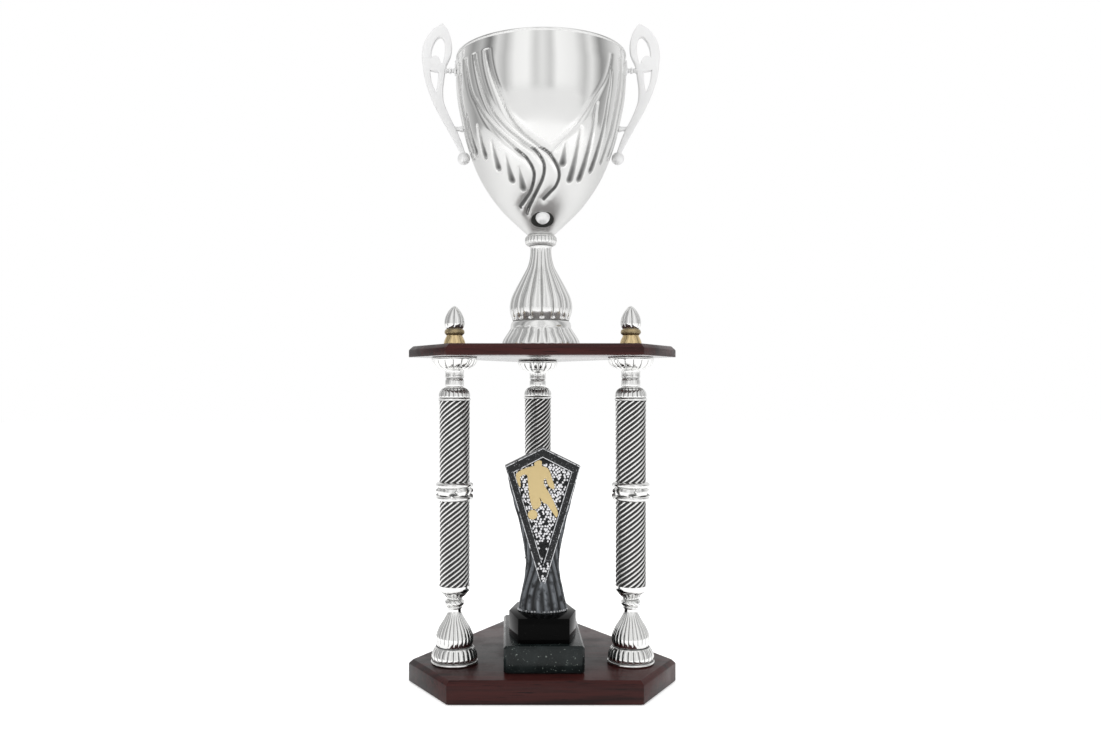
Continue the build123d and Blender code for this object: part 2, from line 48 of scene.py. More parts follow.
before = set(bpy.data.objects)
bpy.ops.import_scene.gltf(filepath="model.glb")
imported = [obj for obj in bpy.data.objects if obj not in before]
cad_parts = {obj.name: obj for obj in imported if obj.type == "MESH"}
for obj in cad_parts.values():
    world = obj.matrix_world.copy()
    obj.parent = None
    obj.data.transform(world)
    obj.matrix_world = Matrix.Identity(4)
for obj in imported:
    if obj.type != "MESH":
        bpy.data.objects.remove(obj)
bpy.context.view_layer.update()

MM = 0.001
TAU = 2 * math.pi
SIDES = ("left", "right", "back")
ROOT = "trophy"
BOSS_TURN = 0.035  # how far round from the front the bowl's boss stands, in radians


# ---- sizes and colours that a maker would change ----


def length(name, description, default):
    """A length in metres."""
    return bpy.props.FloatProperty(
        name=name, description=description, default=default, subtype="DISTANCE", unit="LENGTH"
    )


def tint(name, description, default):
    """A linear colour."""
    return bpy.props.FloatVectorProperty(
        name=name, description=description, default=default, subtype="COLOR", min=0, max=1, size=3
    )


def whole(name, description, default):
    """A count."""
    return bpy.props.IntProperty(name=name, description=description, default=default, min=3)


class BoardSettings(bpy.types.PropertyGroup):
    front_cut: length("Front cut", "Width of each cut front corner", 0.088)
    back_cut: length("Back cut", "Width of the cut back corner", 0.042)
    chamfer: length("Chamfer", "Chamfer round the top edge of both boards", 0.004)
    softening: length("Softening", "Lacquered rounding of every edge", 0.0006)


class ColumnSettings(bpy.types.PropertyGroup):
    reeds: whole("Reeds", "Slanting reeds round a tube", 14)
    lead: length("Lead", "Height in which a reed goes once round", 0.070)
    reed_depth: length("Reed depth", "How deep the hollows between reeds are", 0.0012)
    lobes: whole("Lobes", "Lobes round a foot and a capital", 24)


class CupSettings(bpy.types.PropertyGroup):
    vase_lobes: whole("Vase lobes", "Lobes round the vase", 16)
    foot_lobes: whole("Foot lobes", "Lobes round the cup's foot", 26)
    flutes: whole("Flutes", "Flutes that would go round the bowl", 32)
    flute_depth: length("Flute depth", "How deep the bowl's flutes are", 0.0011)
    wall: length("Wall", "Thickness of the bowl", 0.0014)


class StatuetteSettings(bpy.types.PropertyGroup):
    frame_width: length("Frame", "Width of the dark frame round the panel", 0.0088)
    grain_size: length("Grains", "Size of the panel's granules", 0.0029)


class FinishSettings(bpy.types.PropertyGroup):
    wood_dark: tint("Dark wood", "Darkest streaks of the mahogany", (0.010, 0.005, 0.005))
    wood_red: tint("Red wood", "Reddest streaks of the mahogany", (0.042, 0.0105, 0.0095))
    silver: tint("Silver", "Bright plating", (0.86, 0.86, 0.85))
    # painted shade: the toning black also paints the shade bands and shadows that some pieces put
    # in the hollow layer
    toning: tint("Toning", "Black paint left in the hollows", (0.008, 0.008, 0.007))
    gold: tint("Gold", "Gilt finial sockets", (0.72, 0.56, 0.31))
    foil: tint("Foil", "Gold figure on the panel", (0.66, 0.52, 0.27))
    frosted: tint("Frosted", "Pale castings of the handles", (0.80, 0.80, 0.80))
    resin: tint("Resin", "Black resin of the statuette", (0.010, 0.011, 0.012))
    stone: tint("Stone", "Dark green marble", (0.006, 0.009, 0.009))


class StudioSettings(bpy.types.PropertyGroup):
    floor_size: length("Floor", "Side of the pale floor", 14.0)
    eye_height: length("Eye height", "Height of the camera above the floor", 0.3075)
    eye_side: length("Eye side", "How far left of the trophy's middle the camera is", 0.0367)
    eye_distance: length("Eye distance", "Camera to the base board's front edge", 0.9206)
    lens: bpy.props.FloatProperty(name="Lens", description="Focal length in mm", default=31.36)
    shift_x: bpy.props.FloatProperty(name="Shift X", description="Sideways shift", default=0.0396)
    shift_y: bpy.props.FloatProperty(name="Shift Y", description="Upward shift", default=0.0170)


SETTINGS = {
    "trophy_board": BoardSettings,
    "trophy_column": ColumnSettings,
    "trophy_cup": CupSettings,
    "trophy_statuette": StatuetteSettings,
    "trophy_finish": FinishSettings,
    "trophy_studio": StudioSettings,
}


# ---- small helpers for outlines ----


def smooth_line(points, steps=6):
    """Rounds a list of points with a curve that passes through each of them."""
    ends = [points[0]] + list(points) + [points[-1]]
    line = []
    for a, b, c, d in zip(ends, ends[1:], ends[2:], ends[3:]):
        for i in range(steps):
            t = i / steps
            line.append(tuple(
                0.5 * (2 * q + (r - p) * t + (2 * p - 5 * q + 4 * r - s) * t**2
                       + (3 * q - p - 3 * r + s) * t**3)
                for p, q, r, s in zip(a, b, c, d)
            ))
    return line + [tuple(points[-1])]


def bead(radius, low, high, steps=8):
    """Half-round moulding that stands out to a radius between two heights."""
    half = (high - low) / 2
    angles = [math.pi * (i / steps - 0.5) for i in range(steps + 1)]
    return [(radius - half + half * math.cos(a), low + half + half * math.sin(a)) for a in angles]


def ease(low, high, value):
    """0 below low, 1 above high, and a soft ramp between."""
    t = min(max((value - low) / (high - low), 0.0), 1.0)
    return t * t * (3 - 2 * t)


def lobe(angle, count):
    """(swell, hollow) of round lobes: swell is 1 on a crest and 0 in the sharp valley."""
    across = 2 * ((angle * count / TAU) % 1.0) - 1
    swell = math.sqrt(max(1 - across * across, 0.0))
    return swell, ease(0.62, 1.0, abs(across))


def within(z, start, full, fade, end):
    """1 between two levels of a band round a piece, with soft ends."""
    return ease(start, full, z) * (1 - ease(fade, end, z))


def mark(z, level, width):
    """1 on a line round a piece, fading away over a width."""
    return math.exp(-((z - level) / width) ** 2)


def at(x, y, z):
    """A move to a point in millimetres."""
    return Matrix.Translation((x * MM, y * MM, z * MM))


def quarter(axis):
    """A quarter turn about an axis."""
    return Matrix.Rotation(math.pi / 2, 4, axis)


def polar(co):
    """Radius and angle of a point round the origin's upright axis."""
    return math.hypot(co.x, co.y), math.atan2(co.y, co.x)


# ---- small helpers for pieces ----


def middle(node):
    """Middle of a node in plan, and the height of its foot."""
    low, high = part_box(node)
    return Vector(((low[0] + high[0]) / 2, (low[1] + high[1]) / 2, low[2]))


def moved(bm, matrix):
    """Moves all of a bmesh and gives it back."""
    bmesh.ops.transform(bm, matrix=matrix, verts=bm.verts)
    return bm


def mesh_of(bm, name):
    """Turns a bmesh into a mesh."""
    mesh = bpy.data.meshes.new(name)
    bm.to_mesh(mesh)
    bm.free()
    return mesh


def placed(name, data):
    """Puts an object with its data in the scene."""
    obj = bpy.data.objects.new(name, data)
    bpy.context.collection.objects.link(obj)
    return obj


def turned(outline, steps):
    """Turns an outline of (radius, height) in millimetres once round the upright axis."""
    bm = bmesh.new()
    verts = [bm.verts.new((r * MM, 0, h * MM)) for r, h in outline]
    edges = [bm.edges.new(pair) for pair in zip(verts, verts[1:])]
    bmesh.ops.spin(
        bm, geom=verts + edges, cent=(0, 0, 0), axis=(0, 0, 1), dvec=(0, 0, 0),
        angle=TAU, steps=steps, use_merge=True, use_normal_flip=False, use_duplicate=False,
    )
    bmesh.ops.remove_doubles(bm, verts=bm.verts, dist=1e-6)
    return bm


def relief(bm, rule, core):
    """Moves each point out from the axis by a rule, which also says how deep in a hollow it is and,
    on some pieces, how much painted shade it takes.

    rule(radius, angle, height), in millimetres, gives (outward move in millimetres, hollow 0 to 1).
    Points within the core, a radius in millimetres, stay where they are.
    """
    hollow = bm.verts.layers.float.get("hollow") or bm.verts.layers.float.new("hollow")
    for vert in bm.verts:
        radius, angle = polar(vert.co)
        if radius / MM < core:
            continue
        move, depth = rule(radius / MM, angle, vert.co.z / MM)
        scale = 1 + move * MM / radius
        vert.co.x *= scale
        vert.co.y *= scale
        vert[hollow] = max(vert[hollow], depth)
    return bm


def piece(bm, name, key, nodes, body=ROOT, spot=None, sharp=60):
    """Makes a bmesh an object of the trophy, in its place, in its finish and on its body."""
    if spot is not None:
        bmesh.ops.translate(bm, verts=bm.verts, vec=spot)
    bmesh.ops.recalc_face_normals(bm, faces=bm.faces)
    for edge in bm.edges:
        if len(edge.link_faces) == 2 and edge.calc_face_angle(0) > math.radians(sharp):
            edge.smooth = False
    for face in bm.faces:
        face.smooth = True
    obj = placed(name, mesh_of(bm, name))
    obj.data.materials.append(finish(key))
    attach(obj, body)
    if nodes:
        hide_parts(*nodes)


def stand_in(bm, node, key, body=ROOT, sharp=60):
    """A piece drawn on the origin's axis that takes the place and the name of one node."""
    piece(bm, node.replace("_", "-"), key, [node], body, middle(node), sharp)


# ---- materials ----


def shared(tree, name, outputs, build, **values):
    """Places a node group of number sockets, built once, in a material with its own values."""
    inner = bpy.data.node_groups.get(name)
    if inner is None:
        inner = bpy.data.node_groups.new(name, "ShaderNodeTree")
        for side, sockets in (("INPUT", values), ("OUTPUT", outputs)):
            for socket in sockets:
                inner.interface.new_socket(name=socket, in_out=side, socket_type="NodeSocketFloat")
        build(inner, inner.nodes.new("NodeGroupInput"), inner.nodes.new("NodeGroupOutput"))
    node = tree.nodes.new("ShaderNodeGroup")
    node.node_tree = inner
    for socket, value in values.items():
        node.inputs[socket].default_value = value
    return node.outputs


def add_node(tree, kind, **values):
    """Adds a shader node, its settings given by name and its sockets by number or name."""
    node = tree.nodes.new("ShaderNode" + kind)
    for key, value in values.items():
        if hasattr(node, key):
            setattr(node, key, value)
        else:
            node.inputs[key.replace("_", " ")].default_value = value
    return node


def maths(tree, operation, a, b=None):
    """A Math node on two sockets or numbers; gives its output."""
    node = tree.nodes.new("ShaderNodeMath")
    node.operation = operation
    for slot, source in enumerate((a, b)):
        if isinstance(source, (int, float)):
            node.inputs[slot].default_value = source
        elif source is not None:
            tree.links.new(source, node.inputs[slot])
    return node.outputs[0]


def ramp(tree, source, low, high):
    """A soft step from 0 at low to 1 at high."""
    node = tree.nodes.new("ShaderNodeMapRange")
    node.interpolation_type = "SMOOTHSTEP"
    node.inputs["From Min"].default_value = low
    node.inputs["From Max"].default_value = high
    tree.links.new(source, node.inputs["Value"])
    return node.outputs["Result"]


def noise(tree, scale, detail=3, stretch=(1, 1, 1)):
    """Noise on Object coordinates, with the pattern stretched along an axis."""
    place = tree.nodes.new("ShaderNodeTexCoord")
    mapping = add_node(tree, "Mapping", Scale=stretch)
    tree.links.new(place.outputs["Object"], mapping.inputs["Vector"])
    texture = add_node(tree, "TexNoise", Scale=scale, Detail=detail)
    tree.links.new(mapping.outputs["Vector"], texture.inputs["Vector"])
    return texture.outputs["Fac"]


def mix_colour(tree, factor, a, b):
    """Mixes two colours, each a colour, a grey or a socket."""
    node = tree.nodes.new("ShaderNodeMix")
    node.data_type = "RGBA"
    tree.links.new(factor, node.inputs["Factor"])
    for socket, source in ((node.inputs[6], a), (node.inputs[7], b)):
        if isinstance(source, bpy.types.NodeSocket):
            tree.links.new(source, socket)
        else:
            socket.default_value = (*((source,) * 3 if isinstance(source, float) else source), 1)
    return node.outputs[2]


def hollows(tree):
    """How deep in a hollow a surface lies, 0 to 1, as its piece was made, with the painted shade
    that some pieces add to it.
    """
    return add_node(tree, "Attribute", attribute_name="hollow").outputs["Fac"]


def build_handling(tree, into, out):
    """Faint smudges and hairlines that dull a polished surface here and there."""
    smudges = ramp(tree, noise(tree, 38, 4), 0.42, 0.68)
    hairlines = ramp(tree, noise(tree, 420, 2, (1, 1, 0.12)), 0.50, 0.75)
    dull = maths(tree, "MULTIPLY", smudges, into.outputs["Smudge"])
    fine = maths(tree, "MULTIPLY", hairlines, into.outputs["Hairline"])
    total = maths(tree, "ADD", maths(tree, "ADD", dull, fine), into.outputs["Roughness"])
    tree.links.new(total, out.inputs["Roughness"])
    tree.links.new(noise(tree, 900, 2), out.inputs["Height"])


def build_toning(tree, into, out):
    """Black paint that stays in hollows, broken up so that it looks wiped off by hand; it also
    paints the shade that some pieces put in the hollow layer.
    """
    uneven = maths(tree, "SUBTRACT", noise(tree, 160, 3), 0.5)
    uneven = maths(tree, "MULTIPLY", uneven, into.outputs["Unevenness"])
    level = maths(tree, "ADD", hollows(tree), uneven)
    low = maths(tree, "SUBTRACT", into.outputs["Edge"], into.outputs["Softness"])
    high = maths(tree, "ADD", into.outputs["Edge"], into.outputs["Softness"])
    step = tree.nodes.new("ShaderNodeMapRange")
    tree.links.new(level, step.inputs["Value"])
    tree.links.new(low, step.inputs["From Min"])
    tree.links.new(high, step.inputs["From Max"])
    tree.links.new(step.outputs["Result"], out.inputs["Mask"])


def handling(shader, roughness, smudge, hairline):
    """Gives a shader the handling marks' roughness; returns that and the marks' height."""
    marks = shared(shader.id_data, "Handling marks", ("Roughness", "Height"), build_handling,
                   Roughness=roughness, Smudge=smudge, Hairline=hairline)
    feed(shader, "Roughness", marks["Roughness"])
    return marks["Roughness"], marks["Height"]


def toning(tree, edge, softness, unevenness):
    """Mask of the black paint in a plating's hollows, and of the painted shade carried with it."""
    return shared(tree, "Toned hollows", ("Mask",), build_toning,
                  Edge=edge, Softness=softness, Unevenness=unevenness)["Mask"]


def new_material(name, **sockets):
    """A material with one Principled shader, whose plain values are given by name."""
    material = bpy.data.materials.new(name)
    material.use_nodes = True
    shader = material.node_tree.nodes["Principled BSDF"]
    for key, value in sockets.items():
        shader.inputs[key.replace("_", " ")].default_value = value
    return material, material.node_tree, shader


def feed(shader, name, source):
    """Links a value or a colour to a socket of a shader."""
    shader.id_data.links.new(source, shader.inputs[name])


def bump(shader, source, strength, distance):
    """Feeds a height to the shader as a bump."""
    node = add_node(shader.id_data, "Bump", Strength=strength, Distance=distance)
    feed(node, "Height", source)
    feed(shader, "Normal", node.outputs["Normal"])


def plated(name, plating, roughness, smudge=0.05, hairline=0.03, tone=None, metallic=1.0,
           level=1.0, below=0):
    """Bright plating, satin by so much below and painted darker there as shade; tone is (edge,
    softness, unevenness) of its black.
    """
    colours = bpy.context.scene.trophy_finish
    colour = [c * level for c in getattr(colours, plating)]
    material, tree, shader = new_material(name, Metallic=metallic)
    rough, marks = handling(shader, roughness, smudge, hairline)
    bump(shader, marks, 0.05, 0.0002)
    if tone is None:
        warm = mix_colour(tree, noise(tree, 25, 2), colour, [c * 0.93 for c in colour])
        feed(shader, "Base Color", warm)
        return material
    mask = toning(tree, *tone)
    rough = maths(tree, "ADD", rough, maths(tree, "MULTIPLY", mask, 0.22))
    if below:
        # painted shade: faces that look down get a plating colour 16% darker, as well as the added
        # roughness
        under = underneath(tree, 0.20, 0.50)
        colour = mix_colour(tree, under, colour, [c * 0.84 for c in colour])
        rough = maths(tree, "ADD", rough, maths(tree, "MULTIPLY", under, below))
    feed(shader, "Base Color", mix_colour(tree, mask, colour, colours.toning))
    bright = maths(tree, "SUBTRACT", 1.0, mask)
    feed(shader, "Metallic", maths(tree, "MULTIPLY", bright, metallic))
    feed(shader, "Roughness", rough)
    return material


def underneath(tree, start, end):
    """How far a surface faces the ground, 0 to 1 between two steepnesses."""
    parts = add_node(tree, "SeparateXYZ")
    tree.links.new(add_node(tree, "TexCoord").outputs["Normal"], parts.inputs["Vector"])
    return ramp(tree, maths(tree, "MULTIPLY", parts.outputs["Z"], -1.0), start, end)


def mahogany():
    """Dark red-brown veneer with long streaks and pores, lacquered; the underside is glossiest."""
    finish = bpy.context.scene.trophy_finish
    material, tree, shader = new_material(
        "Mahogany", Coat_Roughness=0.08, Coat_IOR=1.5, Specular_IOR_Level=0.12
    )
    coat = maths(tree, "MULTIPLY", underneath(tree, 0.7, 0.9), 0.92)
    feed(shader, "Coat Weight", maths(tree, "ADD", coat, 0.08))
    broad = noise(tree, 26, 4, (0.10, 1, 1))
    fine = noise(tree, 240, 4, (0.05, 1, 1))
    pores = ramp(tree, noise(tree, 900, 2, (0.035, 1, 1)), 0.60, 0.72)
    streak = ramp(tree, maths(tree, "ADD", maths(tree, "MULTIPLY", broad, 0.65),
                              maths(tree, "MULTIPLY", fine, 0.35)), 0.40, 0.64)
    veneer = mix_colour(tree, streak, finish.wood_dark, finish.wood_red)
    dark = [c * 0.35 for c in finish.wood_dark]
    feed(shader, "Base Color", mix_colour(tree, pores, veneer, dark))
    handling(shader, 0.30, 0.10, 0.05)
    bump(shader, maths(tree, "SUBTRACT", fine, pores), 0.12, 0.0003)
    return material


def marble():
    """Polished near-black green stone with pale flecks and clouds."""
    colour = bpy.context.scene.trophy_finish.stone
    material, tree, shader = new_material(
        "Dark marble", Coat_Weight=0.06, Coat_Roughness=0.05, Specular_IOR_Level=0.22
    )
    clouds = ramp(tree, noise(tree, 70, 6), 0.40, 0.75)
    flecks = ramp(tree, noise(tree, 520, 3), 0.66, 0.74)
    base = mix_colour(tree, clouds, colour, [c * 1.8 + 0.003 for c in colour])
    feed(shader, "Base Color", mix_colour(tree, flecks, base, (0.20, 0.23, 0.21)))
    bump(shader, handling(shader, 0.20, 0.10, 0.03)[1], 0.04, 0.0002)
    return material


def black_gloss():
    """Mirror-black lacquer with a little dust."""
    material, tree, shader = new_material("Black gloss", Specular_IOR_Level=0.03)
    dust = ramp(tree, noise(tree, 700, 2), 0.68, 0.80)
    feed(shader, "Base Color", mix_colour(tree, dust, 0.002, 0.02))
    bump(shader, handling(shader, 0.06, 0.07, 0.02)[1], 0.02, 0.0002)
    return material


def cast_resin(name, pale, grain, amount, edge=0.55):
    """Black resin, dry-brushed with silver on whatever stands proud."""
    colour = bpy.context.scene.trophy_finish.resin
    material, tree, shader = new_material(name, Specular_IOR_Level=0.28)
    proud = maths(tree, "SUBTRACT", 1.0, hollows(tree))
    strokes = ramp(tree, noise(tree, grain, 4), edge - 0.12, edge + 0.1)
    mask = maths(tree, "MULTIPLY", maths(tree, "MULTIPLY", proud, strokes), amount)
    feed(shader, "Base Color", mix_colour(tree, mask, colour, pale))
    feed(shader, "Metallic", maths(tree, "MULTIPLY", mask, 0.6))
    handling(shader, 0.38, 0.12, 0.05)
    bump(shader, noise(tree, grain * 0.8, 3), 0.35, 0.0004)
    return material


def plain_finish(name, colour, roughness, grain, metallic=0.0, spread=0.35):
    """Foam, cloth and zinc: one colour with a fine grain in tone and height."""
    material, tree, shader = new_material(name, Metallic=metallic)
    speckle = noise(tree, grain, 3)
    deep = [c * (1 - spread) for c in colour]
    feed(shader, "Base Color", mix_colour(tree, speckle, deep, colour))
    handling(shader, roughness, 0.08, 0.04)
    bump(shader, speckle, 0.25, 0.0003)
    return material


RECIPES = {
    "mahogany": mahogany,
    "marble": marble,
    "black": black_gloss,
    "column": lambda: plated("Column plating", "silver", 0.10, tone=(0.62, 0.22, 0.5)),
    "reeds": lambda: plated("Reeded plating", "silver", 0.12, tone=(0.42, 0.16, 0.25)),
    "cup": lambda: plated("Toned cup plating", "silver", 0.17, tone=(0.93, 0.30, 0.35),
                          level=0.97, below=0.35),
    "bowl": lambda: plated("Mirror bowl", "silver", 0.10, 0.03, 0.01, tone=(0.82, 0.24, 0.1),
                           below=0.30),
    "bud": lambda: plated("Bud plating", "silver", 0.08, tone=(0.80, 0.25, 0.3)),
    "gilt": lambda: plated("Gilt", "gold", 0.12, tone=(0.95, 0.25, 0.4)),
    "handle": lambda: plated("Frosted casting", "frosted", 0.42, 0.10, 0.08, metallic=0.35),
    "foil": lambda: plated("Gold foil", "foil", 0.36, 0.08, 0.05),
    "resin": lambda: cast_resin("Brushed resin", (0.50, 0.51, 0.53), 600, 0.9, edge=0.70),
    "trim": lambda: cast_resin("Silvered edges", (0.70, 0.71, 0.73), 300, 1.0, edge=0.42),
    "drapery": lambda: cast_resin("Drapery resin", (0.21, 0.225, 0.245), 110, 0.95, edge=0.44),
    "granules": lambda: cast_resin("Silver granules", (0.86, 0.86, 0.88), 500, 1.0, edge=0.26),
    "steel": lambda: plain_finish("Zinc plate", (0.55, 0.56, 0.57), 0.28, 300, 1.0, 0.15),
    "foam": lambda: plain_finish("Black foam", (0.012, 0.012, 0.012), 0.8, 900),
    "baize": lambda: plain_finish("Green baize", (0.012, 0.045, 0.022), 0.9, 1400),
    "brass": lambda: plain_finish("Turned brass", (0.62, 0.46, 0.18), 0.25, 400, 1.0, 0.15),
}


def finish(key):
    """A finish by its short name, made the first time it is asked for."""
    store = bpy.context.scene.get("trophy_finishes", {})
    if key not in store:
        material = RECIPES[key]()
        bpy.context.scene["trophy_finishes"] = {**store, key: material.name}
        return material
    return bpy.data.materials[store[key]]


# ---- boards and the stone under the statuette ----


def board_corners(node, settings):
    """Corners of an equilateral triangle with its three corners cut, fitted to a board's box."""
    low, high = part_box(node)
    side = (high[0] - low[0]) + settings.front_cut
    front_x = side / 2 - settings.front_cut
    side_x = front_x + settings.front_cut / 2
    side_y = low[1] + settings.front_cut * math.sqrt(3) / 2
    back_x = settings.back_cut / 2
    return [(-front_x, low[1]), (front_x, low[1]), (side_x, side_y),
            (back_x, high[1]), (-back_x, high[1]), (-side_x, side_y)]


def slab(corners, low, high):
    """A flat block on a plan outline between two heights."""
    bm = bmesh.new()
    face = bm.faces.new([bm.verts.new((x, y, low)) for x, y in corners])
    rise = bmesh.ops.extrude_face_region(bm, geom=[face])
    verts = [v for v in rise["geom"] if isinstance(v, bmesh.types.BMVert)]
    bmesh.ops.translate(bm, verts=verts, vec=(0, 0, high - low))
    bmesh.ops.recalc_face_normals(bm, faces=bm.faces)
    return bm


def cut_edges(bm, edges, size, segments=1):
    """Bevels some edges."""
    bmesh.ops.bevel(
        bm, geom=edges, offset=size, offset_type="OFFSET", affect="EDGES", segments=segments,
        profile=0.5, material=-1, clamp_overlap=True,
    )


def top_edges(bm, level):
    """Edges that lie flat at a height."""
    return [e for e in bm.edges if all(abs(v.co.z - level) < 1e-6 for v in e.verts)]


class TROPHY_OT_boards(bpy.types.Operator):
    """Make the base board and the upper board"""

    bl_idname = "trophy.boards"
    bl_label = "Boards"

    def execute(self, context):
        settings = context.scene.trophy_board
        for node in ("base_board", "top_board"):
            low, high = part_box(node)
            bm = slab(board_corners(node, settings), low[2], high[2])
            cut_edges(bm, top_edges(bm, high[2]), settings.chamfer)
            cut_edges(bm, list(bm.edges), settings.softening, 2)
            piece(bm, node.replace("_", "-"), "mahogany", [node], sharp=30)
        return {"FINISHED"}


# ---- columns ----


def reeded_tube(node, settings):
    """A tube whose slanting reeds come from a lobed ring, raised and twisted step by step."""
    low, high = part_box(node)
    radius = (high[0] - low[0]) / 2
    per_reed, layer = 8, 0.0016
    points = settings.reeds * per_reed
    bm = bmesh.new()
    ring = []
    for i in range(points):
        angle = TAU * i / points
        swell = 0.5 + 0.5 * math.cos(angle * settings.reeds)
        r = radius - settings.reed_depth * (1 - swell**1.3)
        ring.append(bm.verts.new((r * math.cos(angle), r * math.sin(angle), 0)))
    edges = [bm.edges.new((a, b)) for a, b in zip(ring, ring[1:] + ring[:1])]
    rise = high[2] - low[2]
    steps = round(rise / layer)
    bmesh.ops.spin(
        bm, geom=ring + edges, cent=(0, 0, 0), axis=(0, 0, 1), dvec=(0, 0, rise / steps),
        angle=TAU * rise / settings.lead, steps=steps,
        use_merge=False, use_normal_flip=False, use_duplicate=False,
    )
    bmesh.ops.holes_fill(bm, edges=[e for e in bm.edges if len(e.link_faces) == 1], sides=0)
    hollow = bm.verts.layers.float.new("hollow")
    for vert in bm.verts:
        vert[hollow] = (radius - polar(vert.co)[0]) / settings.reed_depth
    return bm


def foot_piece(count):
    """Ribbed bell on a flange of upright tongues, with a rolled lip."""
    outline = [(0, 0), (22.0, 0)] + bead(24.3, 0, 3.4)
    outline += smooth_line([(22.6, 3.6), (23.6, 6), (23.2, 9.5), (21.6, 14), (19.2, 17.2)], 4)
    outline += smooth_line([(18.0, 17.8), (19.4, 23), (19.0, 29), (15.6, 37), (10.6, 45),
                            (7.6, 51), (7.0, 55.5)], 5)
    outline += [(0, 55.5)]

    def rule(radius, angle, z):
        swell, hollow = lobe(angle, count)
        tongues = within(z, 3.8, 6, 15.0, 17.2)
        ribs = within(z, 18.6, 23, 47, 54)
        seam = mark(z, 17.6, 0.7)
        lip = mark(z, 3.5, 0.5)
        depth = 1.0 * tongues + 0.9 * ribs * min(radius / 15, 1)
        return -depth * (1 - swell), max(hollow * max(tongues, ribs * 0.8), seam, lip * 0.9)

    return relief(turned(outline, count * 8), rule, 6.5)


def socket_piece():
    """Twisted knob, fluted cup and a smooth wavy lip under the tube."""
    outline = [(0, 0), (7.0, 0)]
    outline += smooth_line([(7.0, 0), (8.2, 1.6), (7.6, 2.8)], 3) + bead(10.2, 3, 9.4)
    outline += smooth_line([(8.2, 9.8), (8.4, 11.8), (10.4, 13.2), (12.4, 15.4), (13.8, 17.2)], 4)
    outline += smooth_line([(13.6, 17.4), (15.2, 18.6), (16.0, 21.2), (15.9, 24)], 4) + [(0, 24)]

    def rule(radius, angle, z):
        twist, groove = lobe(angle + z * 0.12, 12)
        knob = within(z, 2.8, 4.4, 8.4, 9.8)
        swell, valley = lobe(angle, 16)
        flutes = within(z, 10.4, 12, 15.6, 17.2)
        seam = mark(z, 17.3 - 0.5 * math.cos(angle * 6), 0.55)
        move = -0.9 * knob * (1 - twist) - 0.8 * flutes * (1 - swell)
        neck = mark(z, 10.2, 0.7)
        return move, max(groove * knob, valley * flutes, seam, neck * 0.8)

    return relief(turned(outline, 96), rule, 6.5)


def ring_piece():
    """Drum with two beads, a leafy band between them and pairs of diamonds."""
    top = 19.5
    outline = [(0, 0), (15.6, 0)] + bead(18.9, 0.4, 5.6)
    outline += [(16.4, 5.8), (17.2, 7.0), (17.4, 12.0), (16.6, 13.4)]
    outline += bead(19.4, 13.6, 19.0) + [(15.6, top), (0, top)]

    def rule(radius, angle, z):
        weave = math.cos(angle * 4)
        seam = mark(z, 6.2 + 0.8 * weave, 0.6)
        upper = mark(z, 13.4 + 0.5 * weave, 0.5)
        band = within(z, 6, 7.5, 12, 13.4)
        return -0.5 * max(seam, upper) + 0.35 * band * weave, max(seam, upper * 0.7)

    bm = relief(turned(outline, 96), rule, 15)
    hollow = bm.verts.layers.float.get("hollow")
    places = [(-90 + 90 * i + step, z) for i in range(4) for step, z in ((-6, 5.2), (9, 10.4))]
    for degrees, z in places:
        turn = Matrix.Rotation(math.radians(degrees), 4, "Z") @ at(17.2, 0, z) @ quarter("Y")
        stud = bmesh.ops.create_cone(bm, cap_ends=True, segments=4, radius1=4.0 * MM,
                                     radius2=1.2 * MM, depth=4.0 * MM, matrix=turn)
        for vert in stud["verts"]:
            proud = polar(vert.co)[0] / MM > 17.5
            vert[hollow] = 0.0 if proud else 1.0
    return bm


def dome_piece():
    """First ring of the tube's end, fluted dome and a lobed collar."""
    outline = [(0, 0), (16.2, 0)] + bead(16.6, 0, 3.0, 6)
    outline += smooth_line([(15.4, 3.2), (16.1, 5.0), (15.4, 8.8), (13.0, 12.0), (9.8, 13.8)], 5)
    outline += smooth_line([(8.8, 14.2), (9.6, 15.2), (9.8, 18), (9.7, 21.0), (8.8, 22.6)], 4)
    outline += [(8.8, 23), (0, 23)]

    def rule(radius, angle, z):
        swell, valley = lobe(angle, 20)
        flutes = within(z, 3.6, 5.0, 12.8, 13.8)
        petals, split = lobe(angle, 8)
        collar = within(z, 14.4, 15.4, 21.6, 22.8)
        seam = mark(z, 3.2, 0.5)
        # painted shade: a dark band on the dome's upper slope below the collar, painted with the
        # toning black
        shade = 0.55 * within(z, 8.5, 12.4, 13.4, 14.4)
        move = -0.7 * flutes * (1 - swell) - 0.35 * collar * (1 - petals)
        return move, max(valley * flutes, shade, seam, split * collar * 0.35)

    return relief(turned(outline, 160), rule, 7)


def capital_piece(count):
    """Neck, and a bowl of round lobes under a flat lip."""
    outline = [(0, 0), (8.8, 0)] + smooth_line([(8.8, 0.2), (9.9, 1.4), (9.6, 4), (9.8, 7.6)], 4)
    outline += smooth_line([(10.2, 8.4), (14.6, 9.6), (19.4, 12.2), (22.4, 15.8), (23.5, 19.4)], 6)
    outline += smooth_line([(23.0, 19.8), (23.7, 20.6), (23.2, 21.8)], 3) + [(22, 22), (0, 22)]

    def rule(radius, angle, z):
        swell, valley = lobe(angle, count * 2 // 3)
        lobes = within(z, 8.6, 11, 18.2, 19.6)
        leaves, split = lobe(angle, 8)
        neck = within(z, 0.8, 2, 6.5, 8.4)
        seam = mark(z, 0.4, 0.6)
        lip = mark(z, 19.7, 0.35) * (0.4 + 0.6 * abs(math.cos(angle * 3)))
        move = -1.3 * lobes * (1 - swell) - 0.5 * neck * (1 - leaves)
        return move, max(valley * lobes * 0.75, split * neck * 0.6, seam, lip)

    return relief(turned(outline, count * 8), rule, 8)


